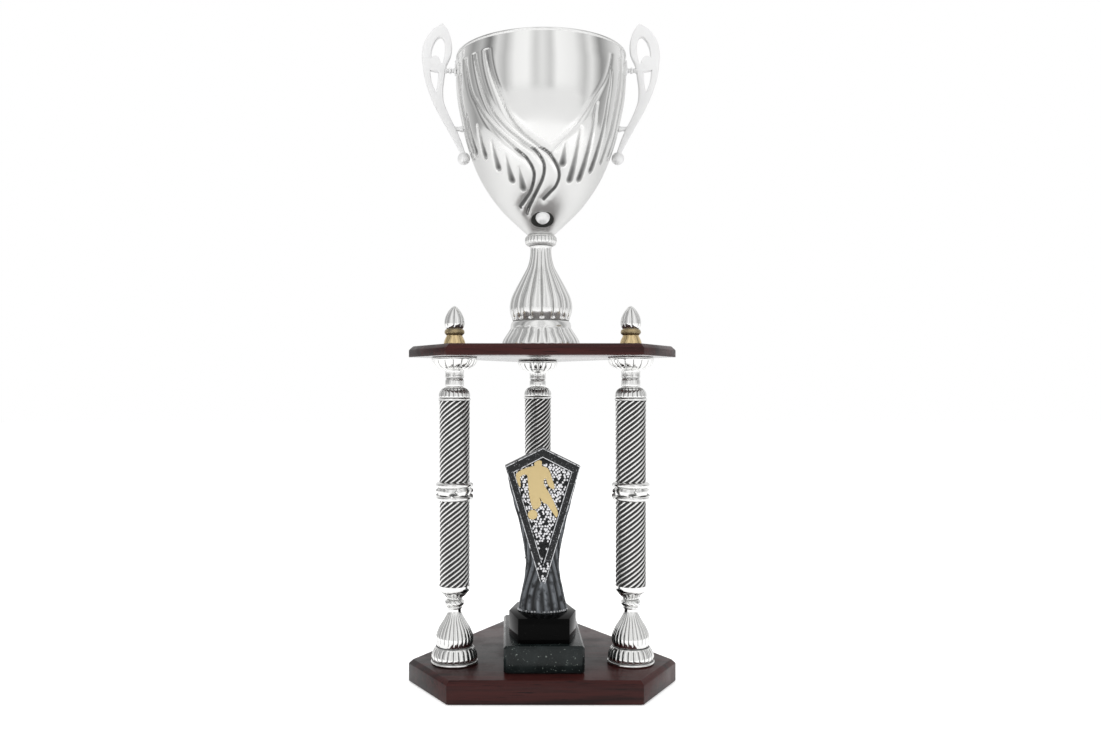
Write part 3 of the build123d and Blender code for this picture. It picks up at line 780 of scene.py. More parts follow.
class TROPHY_OT_columns(bpy.types.Operator):
    """Make the turned and reeded pieces of the three columns"""

    bl_idname = "trophy.columns"
    bl_label = "Columns"

    def execute(self, context):
        settings = context.scene.trophy_column
        lobes = settings.lobes
        patterns = {"foot": foot_piece(lobes), "socket": socket_piece(), "ring": ring_piece(),
                    "dome": dome_piece(), "capital": capital_piece(lobes)}
        for part, pattern in patterns.items():
            for side in SIDES:
                stand_in(pattern.copy(), f"column_{part}_{side}", "column")
            pattern.free()
        for side in SIDES:
            for part in ("tube_lower", "tube_upper"):
                node = f"column_{part}_{side}"
                stand_in(reeded_tube(node, settings), node, "reeds")
        return {"FINISHED"}


# ---- finials ----


def egg_cup():
    """Hammered gilt egg cup on a cone."""
    outline = [(0, 0), (10.8, 0)] + bead(11.7, 0, 1.8, 5)
    outline += smooth_line([(11.3, 2.2), (10.6, 5.0), (9.2, 8.4), (8.3, 10.4)], 4)
    outline += smooth_line([(8.6, 10.9), (10.1, 12.4), (10.4, 14.4), (9.5, 16.6)], 4) + [(0, 16.7)]

    def rule(radius, angle, z):
        dent = 0.5 + 0.5 * math.sin(angle * 9 + z * 1.1) * math.sin(z * 1.7 + angle * 3)
        seam = mark(z, 10.9, 0.6) + mark(z, 2.0, 0.5)
        # painted shade: the cup from 11.4 mm up is painted dark with the toning black, less so on
        # the dents
        cup = ease(11.4, 12.2, z) * (1 - 0.5 * dent**2)
        return -0.28 * dent, min(0.45 * dent**2 + seam + cup, 1.25)

    return relief(turned(outline, 72), rule, 5)


def bud():
    """Pointed flower bud with eight petals."""
    outline = [(0, 0), (8.2, 0)]
    outline += smooth_line([(8.2, 0), (9.9, 2.6), (10.6, 7.0), (9.6, 12.4), (6.9, 17.8),
                            (3.4, 22.0), (1.1, 23.6), (0, 24)], 5)

    def rule(radius, angle, z):
        swell, valley = lobe(angle, 8)
        petals = within(z, 0.3, 3, 19, 23)
        seam = mark(z, 0, 0.7)
        return -1.0 * petals * (1 - swell) * min(radius / 6, 1), max(valley * petals, seam)

    return relief(turned(outline, 96), rule, 0.001)


class TROPHY_OT_finials(bpy.types.Operator):
    """Make the egg cups and the buds that screw down onto them"""

    bl_idname = "trophy.finials"
    bl_label = "Finials"

    def execute(self, context):
        for side in SIDES:
            stand_in(egg_cup(), f"finial_socket_{side}", "gilt")
            stand_in(bud(), f"finial_bud_{side}", "bud", body=f"bud_{side}")
        return {"FINISHED"}


# ---- cup ----


def cup_foot(settings):
    """Dome of round lobes under a smooth wavy lip."""
    outline = [(0, 0), (40.2, 0)]
    outline += smooth_line([(40.2, 0), (41.9, 2.2), (42.0, 5.2), (40.6, 8.8), (38.0, 13.0),
                            (35.2, 17.0), (33.2, 20.6)], 5)
    outline += smooth_line([(32.9, 21.2), (32.6, 24.0), (31.9, 26.6), (31.0, 28.0)], 4)
    outline += [(30.2, 28.4), (0, 28.5)]

    def rule(radius, angle, z):
        swell, valley = lobe(angle, settings.foot_lobes)
        wave = 0.8 * math.cos(angle * settings.foot_lobes / 2)
        lobes = within(z, 0.8, 5, 18.6 + wave, 21.0 + wave)
        seam = mark(z, 20.8 + wave, 1.1)
        return -1.2 * lobes * (1 - swell) - 0.4 * seam, max(valley * lobes, 0.62 * seam)

    return relief(turned(outline, settings.foot_lobes * 10), rule, 20)


def vase(settings):
    """Lobed vase whose lobes run up into its neck."""
    outline = [(0, 0), (28.6, 0)]
    outline += smooth_line([(30.2, 0.2), (31.3, 2.6), (33.4, 9.0), (34.0, 16.6), (32.0, 25.6),
                            (27.0, 36.0), (20.4, 48.0), (14.6, 59.0), (12.0, 69.0), (11.4, 77.0),
                            (12.2, 80.6)], 7)
    outline += [(11.4, 81), (0, 81)]

    def rule(radius, angle, z):
        swell, valley = lobe(angle, settings.vase_lobes)
        lobes = within(z, 0.4, 4, 72, 80)
        depth = 2.3 * min(radius / 26, 1)
        # painted shade: a dark band round the upper body, put in the hollow layer and painted with
        # the toning black
        shade = within(z, 22, 34, 56, 74)
        seam = mark(z, 0.2, 0.9)
        return -depth * lobes * (1 - swell), max(valley**1.6 * lobes, 0.58 * shade, seam)

    return relief(turned(outline, settings.vase_lobes * 14), rule, 9)


def collar():
    """Small ribbed ring."""
    outline = [(0, 0), (11.6, 0)]
    outline += smooth_line([(12.4, 0.2), (15.8, 1.6), (17.3, 5.6), (16.8, 9.4), (14.6, 11.6)], 5)
    outline += [(13.4, 12), (0, 12)]

    def rule(radius, angle, z):
        swell, valley = lobe(angle, 24)
        ribs = within(z, 0.6, 2.4, 10.2, 11.6)
        return -0.9 * ribs * (1 - swell), max(valley * ribs, mark(z, 0, 0.7))

    return relief(turned(outline, 192), rule, 10)


def swept(points):
    """Angle, and its change with height, along a groove given as (height, degrees) from below."""
    line = smooth_line(points, 6)

    def place(z):
        for (z0, a0), (z1, a1) in zip(line, line[1:]):
            if z0 <= z <= z1:
                t = (z - z0) / max(z1 - z0, 1e-6)
                return math.radians(a0 + (a1 - a0) * t), math.radians(a1 - a0) / max(z1 - z0, 1e-6)
        end = line[0] if z < line[0][0] else line[-1]
        return math.radians(end[1]), 0.0

    return place, line[0][0], line[-1][0]


def bowl_grooves(settings):
    """Grooves of one half of the bowl, each (place, foot, head, width, depth, kind).

    Plain flutes stand a fixed step apart. Three of them sweep across the front, under a smooth
    shield, and curl back to the boss at the foot. The others hang from those and from the
    shield's right border.
    """
    step = 360 / settings.flutes
    top = 177
    swirl = [
        [(31, 2), (36, 8), (42.6, 14.5), (51, 16.5), (59, 13.9), (71.5, 5.4), (80, -4.5),
         (91, -14.7), (107, -23.9), (126, -29.6), (152, -35.8), (top, -3.5 * step)],
        [(19, -28), (28, -16), (38.5, -6.5), (50, 0), (62, 0.8), (74, -5.7), (85, -17.2),
         (97.5, -28), (115, -37.4), (135, -43), (156, -47), (top, -4.5 * step)],
        [(25, -35), (32, -22), (40, -13), (53.6, -8.5), (67, -13.5), (77, -22), (93, -34),
         (111, -45), (126, -51), (140, -56), (top, -5.5 * step)],
    ]
    border = [(73, 7), (80, 11.5), (88, 16.5), (103, 26), (135, 39.5), (152, 45.8),
              (top, 4.5 * step)]
    hanging = [(-67, 84, 122), (-55, 78, 106), (-43.5, 63, 88), (-32.5, 50, 72), (-22, 42, 60),
               (17.5, 64, 82), (28.5, 50, 98), (39.5, 52, 124), (50.5, 62, 160)]
    plain = [(-6.5 * step, 86), (-7.5 * step, 90), (5.5 * step, 72), (6.5 * step, 82),
             (7.5 * step, 88)]
    depth = settings.flute_depth / MM
    grooves = [(*swept(line), 7.5, 1.9 * depth, "sweep") for line in swirl]
    grooves.append((*swept(border), 6.0, depth, "border"))
    grooves += [(*swept([(low, angle), (high, angle)]), 5.2, 1.2 * depth, "leaf")
                for angle, low, high in hanging]
    grooves += [(*swept([(low, angle), (top, angle)]), 5.4, depth, "flute")
                for angle, low in plain]
    return grooves


def dip(kind, gap, along, width):
    """(depth, hollow), each 0 to 1, at a gap from a groove's middle and a part of its length."""
    if kind in ("leaf", "flute"):
        half = width * (0.22 + 0.78 * (1 - along) ** 0.8 if kind == "leaf" else 0.85 + 0.15 * along)
        if gap >= half:
            return 0.0, 0.0
        inside = 1 - (gap / half) ** 2
        # painted shade: leaf flutes, and plain flutes a little, are painted darker towards their
        # lower ends
        shade = 0.72 + 0.3 * (1 - along) if kind == "leaf" else 0.64 + 0.26 * (1 - along)
        return inside, shade * inside**0.35
    if gap >= width:
        return 0.0, 0.0
    near = (1 - gap / width) ** 2
    return near, ease(0.25, 0.70, near) * (0.66 if kind == "border" else 0.78)


def bowl(settings):
    """Thin bowl with a smooth shield, swept flutes, a boss at its foot and a rolled rim."""
    outside = smooth_line([(14.0, 0), (27.6, 12.5), (44, 29), (58.6, 49), (69.6, 69.5),
                           (79.8, 97), (86.4, 125), (90.2, 146), (91.6, 165), (91.2, 178),
                           (90.3, 188.8)], 17)
    wall = settings.wall / MM
    rim = [(90.2 + 1.3 * math.cos(a), 190.6 + 1.4 * math.sin(a))
           for a in (i * math.pi / 6 - math.pi / 2 for i in range(1, 7))]
    inside = smooth_line([(88.9, 188), (91.6 - wall, 165), (86.4 - wall, 125.4),
                          (69.6 - wall, 70.4), (44 - wall, 30), (14.0, wall)], 5)
    outline = [(0, 0)] + outside + rim + inside + [(0, wall)]
    grooves = bowl_grooves(settings)
    rows = {}

    def row(z):
        """The outer radius at a level, and each groove near it: angle, slope, gap, profile."""
        near = []
        for place, low, high, width, depth, kind in grooves:
            past = max(low - z, z - high, 0)
            if past < width:
                along = min(max((z - low) / (high - low), 0), 1)
                near.append((*place(z), past, along, width, depth, kind))
        outer = next((r0 + (r1 - r0) * (z - z0) / max(z1 - z0, 1e-6)
                      for (r0, z0), (r1, z1) in zip(outside, outside[1:]) if z0 <= z <= z1), 0)
        return outer, near

    def rule(radius, angle, z):
        if z > 180:
            return 0, 0
        key = round(z, 3)
        if key not in rows:
            rows[key] = row(z)
        outer, near = rows[key]
        if radius < outer - 0.3:
            return 0, 0
        front = math.remainder(angle + math.pi / 2, math.pi)
        move, hollow = 0.0, 0.0
        for centre, slope, past, along, width, depth, kind in near:
            across = abs(math.remainder(front - centre, math.pi)) * radius
            if across < width * 3:
                across /= math.sqrt(1 + (slope * radius) ** 2)
                drop, dark = dip(kind, math.hypot(across, past), along, width)
                move = max(move, depth * drop)
                hollow = max(hollow, dark * (1.3 if kind == "sweep" and z < 78 else 1))
        # a shallow recess round the boss, and a painted shadow: the whole patch round it is painted
        # black with the toning
        recess_and_shadow = math.hypot((front - BOSS_TURN) * radius / 14.0, (z - 12.5) / 8.0)
        if abs(front) < 0.6 and recess_and_shadow < 1.0:
            return -0.5 * (1 - ease(0.8, 1.0, recess_and_shadow)), 1.3 * (1 - ease(0.85, 1.0, recess_and_shadow))
        if z > 176:
            hollow *= 1 - ease(176, 178, z)
            move *= 1 - ease(176, 178, z)
        return -move, hollow

    return relief(turned(outline, 344), rule, 10)


def bosses():
    """Frosted button at the foot of the grooves, front and back."""
    bm = bmesh.new()
    reach = 28.0
    for turn in (BOSS_TURN - math.pi / 2, BOSS_TURN + math.pi / 2):
        place = at(reach * math.cos(turn), reach * math.sin(turn), 15.0)
        bmesh.ops.create_uvsphere(bm, u_segments=32, v_segments=20, radius=7.6 * MM, matrix=place)
    return bm


class TROPHY_OT_cup(bpy.types.Operator):
    """Make the cup's foot, vase, collar, bowl and bosses"""

    bl_idname = "trophy.cup"
    bl_label = "Cup"

    def execute(self, context):
        settings = context.scene.trophy_cup
        stand_in(cup_foot(settings), "cup_foot", "cup")
        stand_in(vase(settings), "cup_vase", "cup")
        stand_in(collar(), "cup_collar", "cup")
        stand_in(bowl(settings), "cup_bowl", "bowl")
        piece(bosses(), "cup-bosses", "handle", [], spot=middle("cup_bowl"))
        return {"FINISHED"}


# ---- handles ----


def closed_loop(bm, *curves):
    """A closed wire through the points of some (across, up) curves, in millimetres."""
    points = []
    for curve in curves:
        for point in curve:
            if not points or math.dist(point, points[-1]) > 0.05:
                points.append(point)
    if math.dist(points[0], points[-1]) < 0.05:
        points.pop()
    verts = [bm.verts.new((x * MM, 0, z * MM)) for x, z in points]
    return [bm.edges.new(pair) for pair in zip(verts, verts[1:] + verts[:1])]


def plate(loops, thickness, softening, segments=3):
    """Flat plate between closed loops, the later ones holes, with rounded edges."""
    bm = bmesh.new()
    edges = [edge for loop in loops for edge in closed_loop(bm, *loop)]
    filled = bmesh.ops.triangle_fill(bm, use_beauty=True, use_dissolve=False, edges=edges)
    faces = [f for f in filled["geom"] if isinstance(f, bmesh.types.BMFace)]
    rise = bmesh.ops.extrude_face_region(bm, geom=faces)
    verts = [v for v in rise["geom"] if isinstance(v, bmesh.types.BMVert)]
    bmesh.ops.translate(bm, verts=bm.verts, vec=(0, -thickness / 2 * MM, 0))
    bmesh.ops.translate(bm, verts=verts, vec=(0, thickness * MM, 0))
    bmesh.ops.recalc_face_normals(bm, faces=bm.faces)
    rims = [e for e in bm.edges if e.calc_face_angle(0) > math.radians(80)
            and abs(abs(e.verts[0].co.y) - abs(e.verts[1].co.y)) < 1e-6
            and e.verts[0].co.y * e.verts[1].co.y > 0]
    cut_edges(bm, rims, softening * MM, segments)
    return bm


def disc(bm, radius, thickness, place):
    """Adds an upright disc that faces forward."""
    bmesh.ops.create_cone(bm, cap_ends=True, segments=40, radius1=radius * MM, radius2=radius * MM,
                          depth=thickness * MM, matrix=place @ quarter("X"))


def handle():
    """Leaf-shaped loop with a scroll ball and a boss, drawn from the cup's axis."""
    outer = smooth_line([(106, 228.8), (117, 221.5), (125.2, 209.7), (128.1, 198), (128.0, 187),
                         (125.6, 170), (120.8, 153.7), (112, 134), (99.5, 112), (85.5, 86)], 5)
    inner = smooth_line([(81, 86), (84.5, 97), (90, 111), (98.6, 128), (104.5, 143),
                         (105.8, 156), (104.3, 170), (102, 183), (97.2, 194), (96.2, 206),
                         (99.4, 219), (106, 228.8)], 5)
    teardrop = smooth_line([(106, 185), (103.6, 198), (104.6, 209), (108.6, 214), (114, 209.6),
                            (117.8, 200), (118.6, 190)], 5)
    slit = [smooth_line([(119.6, 178), (118, 166), (113.2, 154)], 4),
            smooth_line([(113.2, 154), (111.6, 164), (110.6, 176)], 4)]
    bm = plate([[outer, inner], [teardrop], slit], 6.6, 1.5)
    bmesh.ops.create_uvsphere(bm, u_segments=32, v_segments=20, radius=6.8 * MM,
                              matrix=at(83.3, 0, 83))
    disc(bm, 5.6, 6.9, at(114.2, 0, 187.7))
    return bm


def stub(low, high, level, beaded):
    """Small turned baluster, or a plain tapered one, lying between two radii."""
    span = high - low
    if beaded:
        outline = [(0, 0), (3.4, 0)] + bead(3.5, 0, 2.6, 6) + bead(2.6, 2.8, 4.6, 6)
        outline += bead(3.4, 4.8, 8.0, 8) + bead(2.5, 8.2, 9.8, 6)
        outline += [(2.6, 10), (3.3, span - 1), (3.3, span), (0, span)]
    else:
        outline = [(0, 0), (3.5, 0)] + smooth_line([(3.5, 0.4), (2.4, span * 0.4),
                                                    (3.3, span - 0.5)], 5) + [(0, span)]
    return moved(turned(outline, 32), at(low, 0, level) @ quarter("Y"))


def leaf_plate(radius, level):
    """Small leaf-shaped plate between the upper stub and the bowl."""
    leaf = smooth_line([(0, 11.5), (2.6, 7.5), (4.6, 2), (5.2, -2.2), (3.4, -4.6), (0, -5.4),
                        (-3.4, -4.6), (-5.2, -2.2), (-4.6, 2), (-2.6, 7.5), (0, 11.5)], 4)
    return moved(plate([[leaf]], 1.6, 0.5, 2), at(radius, 0, level) @ quarter("Z"))


def joined(*parts):
    """One bmesh out of several."""
    whole_mesh = bmesh.new()
    whole_mesh.verts.layers.float.new("hollow")
    for part in parts:
        mesh = mesh_of(part, "part")
        whole_mesh.from_mesh(mesh)
        bpy.data.meshes.remove(mesh)
    return whole_mesh


class TROPHY_OT_handles(bpy.types.Operator):
    """Make the two cast handles"""

    bl_idname = "trophy.handles"
    bl_label = "Handles"

    def execute(self, context):
        axis = middle("cup_bowl")
        for side, turn in (("right", 1), ("left", -1)):
            bm = joined(handle(), stub(91.6, 106, 178, True), stub(84.2, 97, 115, False),
                        leaf_plate(92.2, 178))
            bmesh.ops.scale(bm, verts=bm.verts, vec=(turn, 1, 1))
            if turn < 0:
                bmesh.ops.reverse_faces(bm, faces=bm.faces)
            piece(bm, f"handle-{side}", "handle", [f"handle_{side}"],
                  spot=axis, sharp=50)
        return {"FINISHED"}


# ---- statuette and its pedestal ----


class TROPHY_OT_pedestal(bpy.types.Operator):
    """Make the marble block and the polished six-sided block"""

    bl_idname = "trophy.pedestal"
    bl_label = "Pedestal"

    def execute(self, context):
        low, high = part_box("pedestal_stone")
        corners = [(low[0], low[1]), (high[0], low[1]), (high[0], high[1]), (low[0], high[1])]
        bm = slab(corners, low[2], high[2])
        upright = [e for e in bm.edges if abs(e.verts[0].co.z - e.verts[1].co.z) > 1e-4]
        cut_edges(bm, upright, 2.5 * MM)
        cut_edges(bm, top_edges(bm, high[2]), 2.2 * MM)
        cut_edges(bm, list(bm.edges), 0.25 * MM, 2)
        piece(bm, "pedestal-stone", "marble", ["pedestal_stone"], sharp=30)

        low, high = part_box("pedestal_plinth")
        half = (high[0] - low[0]) / 2
        front, back, centre = low[1], high[1], (low[1] + high[1]) / 2
        near = half * 0.74
        corners = [(-near, front), (near, front), (half, centre), (near, back), (-near, back),
                   (-half, centre)]
        bm = slab(corners, low[2], high[2])
        cut_edges(bm, list(bm.edges), 0.7 * MM, 2)
        piece(bm, "pedestal-plinth", "black", ["pedestal_plinth"], sharp=30)
        return {"FINISHED"}


def kite(inset, tip=21.0):
    """Corners of the statuette's kite, drawn in from its edges by an inset, in millimetres."""
    return [(0, 168 - 1.12 * inset), (38.5 - 1.05 * inset, 149 - 0.68 * inset),
            (0, tip + 3.1 * inset), (-38.5 + 1.05 * inset, 149 - 0.68 * inset)]


def inside_kite(x, z, inset):
    """Whether a point lies inside the kite drawn in by an inset."""
    (_, apex), (wide, shoulder), (_, tip), _ = kite(inset)
    if z >= shoulder:
        return abs(x) < wide * (apex - z) / (apex - shoulder)
    return abs(x) < wide * (z - tip) / (shoulder - tip)


def lumps(places, radius, flat=0.7):
    """Small rounded grains at (x, y, z, hollow) in millimetres."""
    parts = []
    for start in range(0, len(places), 40):
        bm = bmesh.new()
        hollow = bm.verts.layers.float.new("hollow")
        for x, y, z, dark in places[start : start + 40]:
            spot = at(x, y, z) @ Matrix.Diagonal((1, flat, 1, 1))
            made = bmesh.ops.create_uvsphere(bm, u_segments=6, v_segments=4, radius=radius * MM,
                                             matrix=spot)
            for vert in made["verts"]:
                vert[hollow] = dark
        parts.append(bm)
    return joined(*parts)


def scatter(row, column, down, across, spread):
    """A fixed number from -0.5 to 0.5 for each grain, in no order that shows."""
    return math.sin(row * down + column * across) * spread % 1 - 0.5


def grain_places(settings):
    """Staggered grid of grains over the panel, and down the tip of the kite."""
    step = settings.grain_size / MM
    panel_front, tip_front = -9.3, -11.0
    places = []
    for row in range(int(150 / step) + 1):
        z = 22 + row * step * 0.87
        for column in range(-18, 19):
            x = (column + 0.5 * (row % 2)) * step
            jitter = scatter(row, column, 12.9898, 78.233, 43758.5453)
            nudge = scatter(row, column, 39.425, 17.353, 24634.6345)
            x += 1.5 * nudge
            if inside_kite(x, z, settings.frame_width / MM + 0.8):
                edge = not inside_kite(x, z, settings.frame_width / MM + 1.8)
                dark = 0.0 if z > 70 or edge else 1.0
                dark = 1.0 if nudge * jitter > 0.1 else dark
                places.append((x, panel_front, z + 1.5 * jitter, dark))
            elif z < 50 and inside_kite(x, z, 2.2):
                places.append((x, tip_front, z, 0.0 if abs(jitter) < 0.3 else 1.0))
    return places


def drapery():
    """Cloth that bulges behind the kite, draws in to a waist and falls to a spread skirt."""
    rows = [(24.6, 0, 17.4), (25.4, 1.5, 17.9), (24.8, 6, 17.2), (23.4, 12, 15.8),
            (20.8, 24, 12.6), (18.4, 38, 10.2), (17.3, 50, 9.0), (19.2, 64, 7.4),
            (22.2, 80, 7.2), (25.2, 95, 7.2), (28.9, 107, 7.2), (32.4, 121, 6.6),
            (34.8, 133, 5.2), (35.2, 138, 4.2), (30.0, 142, 3), (12, 143, 2)]
    line = smooth_line(rows, 6)
    outline = [(0, 0)] + [(w, z) for w, z, _ in line] + [(0, 143.5)]

    def rule(radius, angle, z):
        if z > 141:
            return 0, 0
        side = math.copysign(1, math.cos(angle))
        swing = 0.42 * math.sin((z - 50) / 26) * side
        fold = 0.5 + 0.5 * math.cos(14 * (angle + swing) + 0.7 * math.sin(z / 9))
        fine = 0.5 + 0.5 * math.cos(31 * (angle + 1.4 * swing))
        depth = 0.6 + 1.9 * (1 - ease(2, 46, z)) + 0.5 * ease(54, 84, z)
        trim = 1 - ease(0.5, 3, z)
        depth *= 1 - ease(118, 134, z)
        move = -(depth * (1 - fold) + 0.6 * (1 - fine)) * (1 - 0.6 * trim)
        return move, min(1, (1 - fold) * 0.95 + 0.35 * (1 - fine)) * (1 - trim)

    bm = relief(turned(outline, 192), rule, 6)
    for vert in bm.verts:
        wide, _, deep = min(line, key=lambda entry: abs(entry[1] - vert.co.z / MM))
        vert.co.y *= deep / wide
    return bm


def figure():
    """Flat figure of a ball player bending over the ball."""
    outline = [(-8.6, 149.8), (-9.0, 152.2), (-7.0, 154.2), (-3.4, 155.4), (-0.9, 154.0),
               (-0.7, 149.6), (3.2, 148.4), (6.3, 145.4), (9.3, 137.0), (12.0, 128.1),
               (10.5, 125.7), (5.7, 129.3), (2.8, 137.0), (1.0, 131.7), (7.5, 120.3),
               (12.4, 110.0), (15.5, 101.8), (14.1, 97.0), (11.7, 99.4), (4.5, 110.1),
               (0.4, 111.8), (-3.2, 117.1), (-1.8, 110.7), (-5.6, 105.9), (-10.4, 106.5),
               (-14.0, 120.3), (-15.5, 137.0), (-17.0, 140.6), (-22.8, 138.6), (-22.6, 129.2),
               (-24.4, 129.0), (-27.6, 141.2), (-17.0, 147.6), (-8.6, 149.8)]
    return plate([[smooth_line(outline, 3)]], 1.0, 0.3, 1)


class TROPHY_OT_statuette(bpy.types.Operator):
    """Make the kite, its granular panel, the figure and the drapery"""

    bl_idname = "trophy.statuette"
    bl_label = "Statuette"

    def execute(self, context):
        settings = context.scene.trophy_statuette
        spot = middle("statuette_body")
        width = settings.frame_width / MM
        bm = plate([[kite(0)], [kite(width)]], 22, 0.7, 2)
        back = moved(plate([[kite(width - 0.5)]], 17, 0.4, 1), at(0, 2.2, 0))
        piece(joined(bm, back), "statuette-frame", "resin", ["statuette_body"],
              spot=spot, sharp=30)
        trims = joined(plate([[kite(0.15)], [kite(1.05)]], 22.5, 0.2, 1),
                       plate([[kite(width - 0.9)], [kite(width)]], 22.5, 0.2, 1))
        piece(trims, "statuette-trim", "trim", [], spot=spot, sharp=30)
        hem = [(24.9 * math.cos(a), 16.8 * math.sin(a), 1.5, 0.0)
               for a in (TAU * i / 46 for i in range(46))]
        piece(lumps(hem, 1.15, 1.0), "statuette-hem", "trim", [], spot=spot, sharp=40)
        piece(drapery(), "statuette-drapery", "drapery", [], spot=spot, sharp=70)

        panel = moved(plate([[kite(width + 0.1)]], 1.5, 0.2, 1), at(0, -8.6, 0))
        layer = panel.verts.layers.float.new("hollow")
        for vert in panel.verts:
            vert[layer] = 1.0
        grains = lumps(grain_places(settings), settings.grain_size / MM * 0.48)
        piece(joined(panel, grains), "statuette-panel", "granules",
              ["statuette_panel"], spot=spot, sharp=75)

        gold = figure()
        disc(gold, 4.9, 1.0, at(-10.4, 0, 99.8))
        piece(moved(gold, at(0, -10.3, 0)), "statuette-player", "foil",
              ["statuette_player"], spot=spot, sharp=30)
        return {"FINISHED"}


class TROPHY_OT_fixings(bpy.types.Operator):
    """Finish the rods, nuts, washers, inserts, foam and baize"""

    bl_idname = "trophy.fixings"
    bl_label = "Fixings"

    def execute(self, context):
        nodes = {"base_baize": "baize", "pedestal_pad": "foam"}
        nodes.update({f"finial_insert_{side}": "brass" for side in SIDES})
        nodes.update({f"tie_rod_{side}": "steel" for side in SIDES})
        for node in ("rod_nuts_lower", "rod_washers_lower", "rod_nuts_upper",
                     "rod_washers_upper", "cup_stud", "cup_tee_nut", "cup_nut", "cup_washer",
                     "handle_screws", "statuette_rod", "statuette_nut", "statuette_washer"):
            nodes[node] = "steel"
        for node, key in nodes.items():
            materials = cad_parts[node].data.materials
            materials.clear()
            materials.append(finish(key))
        return {"FINISHED"}


# ---- stage ----


def studio_world():
    """A white room: plain white behind, and a few darker bands for metal to reflect."""
    world = bpy.data.worlds.new("Studio")
    world.use_nodes = True
    tree = world.node_tree
    shade = tree.nodes["Background"]
    place = tree.nodes.new("ShaderNodeTexCoord")
    split = tree.nodes.new("ShaderNodeSeparateXYZ")
    tree.links.new(place.outputs["Generated"], split.inputs[0])
    depth = maths(tree, "MULTIPLY", split.outputs["Y"], -1)
    across = maths(tree, "ARCTAN2", split.outputs["X"], depth)
    level = tree.nodes.new("ShaderNodeValToRGB")
    tree.links.new(maths(tree, "ADD", maths(tree, "DIVIDE", across, TAU), 0.5), level.inputs["Fac"])
    stops = [(0.0, 0.80), (0.10, 0.85), (0.20, 0.35), (0.25, 0.55), (0.29, 0.18), (0.325, 0.80),
             (0.36, 0.55), (0.40, 1.0), (0.445, 1.05), (0.475, 0.70), (0.50, 0.88), (0.53, 0.66),
             (0.555, 1.05), (0.62, 0.95), (0.66, 0.60), (0.69, 0.90), (0.735, 0.30),
             (0.79, 0.62), (0.85, 0.85), (1.0, 0.80)]
    elements = level.color_ramp.elements
    elements.remove(elements[0])
    for i, (spot, grey) in enumerate(stops):
        stop = elements[0] if i == 0 else elements.new(spot)
        stop.position = spot
        stop.color = (grey, grey, grey, 1)
    low = ramp(tree, split.outputs["Z"], -0.30, 0.02)
    toned = mix_colour(tree, low, 0.60, level.outputs["Color"])
    path = tree.nodes.new("ShaderNodeLightPath")
    seen = mix_colour(tree, path.outputs["Is Camera Ray"], toned, 1.0)
    tree.links.new(seen, shade.inputs["Color"])
    bpy.context.scene.world = world


def pale_floor():
    """Plain white floor."""
    material, tree, shader = new_material(
        "Pale floor", Roughness=0.9, Specular_IOR_Level=0.0, Emission_Strength=0.40
    )
    path = tree.nodes.new("ShaderNodeLightPath")
    feed(shader, "Emission Color", mix_colour(tree, path.outputs["Is Camera Ray"], 0.6, 1.0))
    feed(shader, "Base Color", mix_colour(tree, noise(tree, 3, 2), 0.88, 0.90))
    bm = bmesh.new()
    bmesh.ops.create_grid(bm, x_segments=1, y_segments=1,
                          size=bpy.context.scene.trophy_studio.floor_size / 2)
    floor = placed("pale-floor", mesh_of(bm, "pale-floor"))
    floor.data.materials.append(material)


def soft_light(name, place, aim, size, power):
    """A square soft light that looks at a point."""
    lamp = bpy.data.lights.new(name, "AREA")
    lamp.shape = "RECTANGLE"
    lamp.size, lamp.size_y = size
    lamp.energy = power
    obj = placed(name, lamp)
    obj.location = place
    obj.rotation_euler = (Vector(aim) - Vector(place)).to_track_quat("-Z", "Y").to_euler()
    obj.visible_glossy = False


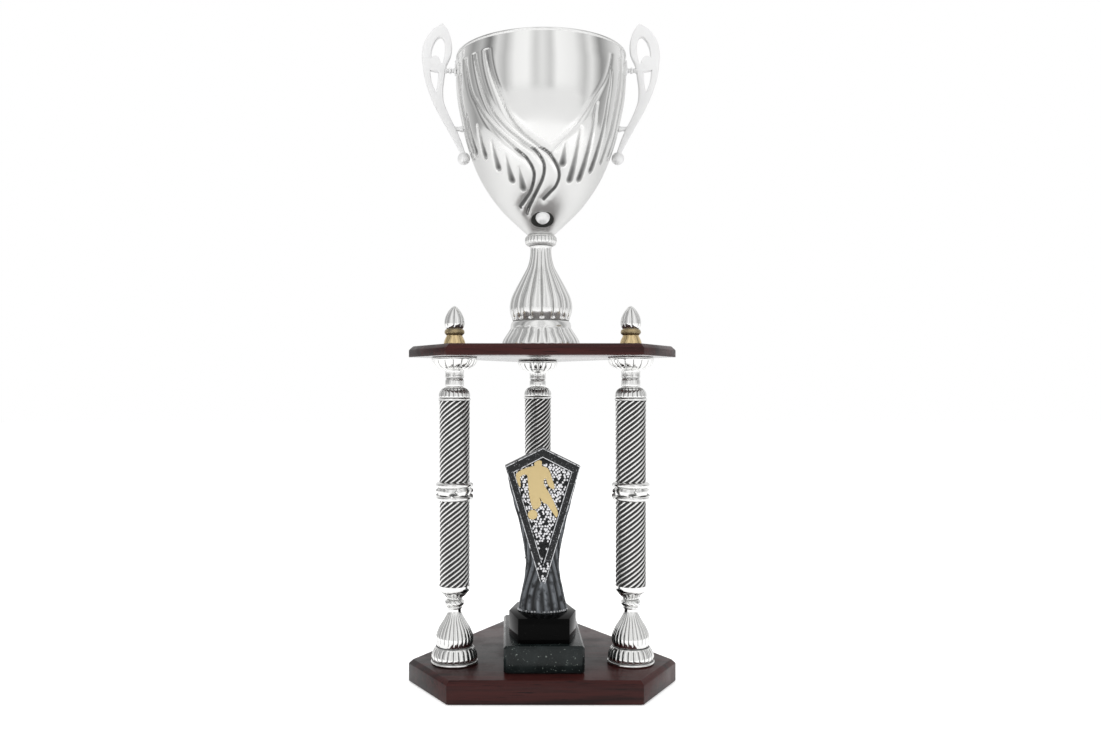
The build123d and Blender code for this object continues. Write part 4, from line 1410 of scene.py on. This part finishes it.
class TROPHY_OT_stage(bpy.types.Operator):
    """Make the floor, the soft lights and the camera"""

    bl_idname = "trophy.stage"
    bl_label = "Stage"

    def execute(self, context):
        settings = context.scene.trophy_studio
        pale_floor()
        studio_world()
        soft_light("key", (-1.3, -1.5, 1.5), (0, 0, 0.35), (0.9, 1.2), 14)
        soft_light("fill", (1.7, -1.1, 0.9), (0, 0, 0.35), (0.6, 1.3), 8)
        soft_light("top", (0, 0.1, 2.0), (0, 0, 0.3), (1.4, 1.4), 12)
        lens = bpy.data.cameras.new("camera")
        lens.lens, lens.sensor_width = settings.lens, 36
        lens.shift_x, lens.shift_y = settings.shift_x, settings.shift_y
        camera = placed("camera", lens)
        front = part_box("base_board")[0][1]
        camera.location = (-settings.eye_side, front - settings.eye_distance, settings.eye_height)
        camera.rotation_euler = (math.pi / 2, 0, 0)
        context.scene.camera = camera
        context.scene.view_settings.view_transform = "Standard"
        return {"FINISHED"}


# ---- running ----


class TROPHY_PT_panel(bpy.types.Panel):
    """The trophy's settings, with a button for each group of pieces"""

    bl_label = "Trophy"
    bl_idname = "TROPHY_PT_panel"
    bl_space_type = "VIEW_3D"
    bl_region_type = "UI"
    bl_category = "Trophy"

    def draw(self, context):
        for name, settings in SETTINGS.items():
            box = self.layout.box()
            for key in settings.__annotations__:
                box.prop(getattr(context.scene, name), key)
        for operator in OPERATORS:
            self.layout.operator(operator.bl_idname)


OPERATORS = [
    TROPHY_OT_boards,
    TROPHY_OT_columns,
    TROPHY_OT_finials,
    TROPHY_OT_cup,
    TROPHY_OT_handles,
    TROPHY_OT_pedestal,
    TROPHY_OT_statuette,
    TROPHY_OT_fixings,
    TROPHY_OT_stage,
]


def register():
    """Adds the settings, the operators and the panel."""
    for item in (*SETTINGS.values(), *OPERATORS, TROPHY_PT_panel):
        bpy.utils.register_class(item)
    for name, settings in SETTINGS.items():
        setattr(bpy.types.Scene, name, bpy.props.PointerProperty(type=settings))


def unregister():
    """Takes them away again."""
    for name in SETTINGS:
        delattr(bpy.types.Scene, name)
    for item in reversed((*SETTINGS.values(), *OPERATORS, TROPHY_PT_panel)):
        bpy.utils.unregister_class(item)


def main():
    """Builds the whole trophy and its stage."""
    register()
    bpy.ops.trophy.boards()
    bpy.ops.trophy.columns()
    bpy.ops.trophy.finials()
    bpy.ops.trophy.cup()
    bpy.ops.trophy.handles()
    bpy.ops.trophy.pedestal()
    bpy.ops.trophy.statuette()
    bpy.ops.trophy.fixings()
    bpy.ops.trophy.stage()


if __name__ == "__main__":
    main()
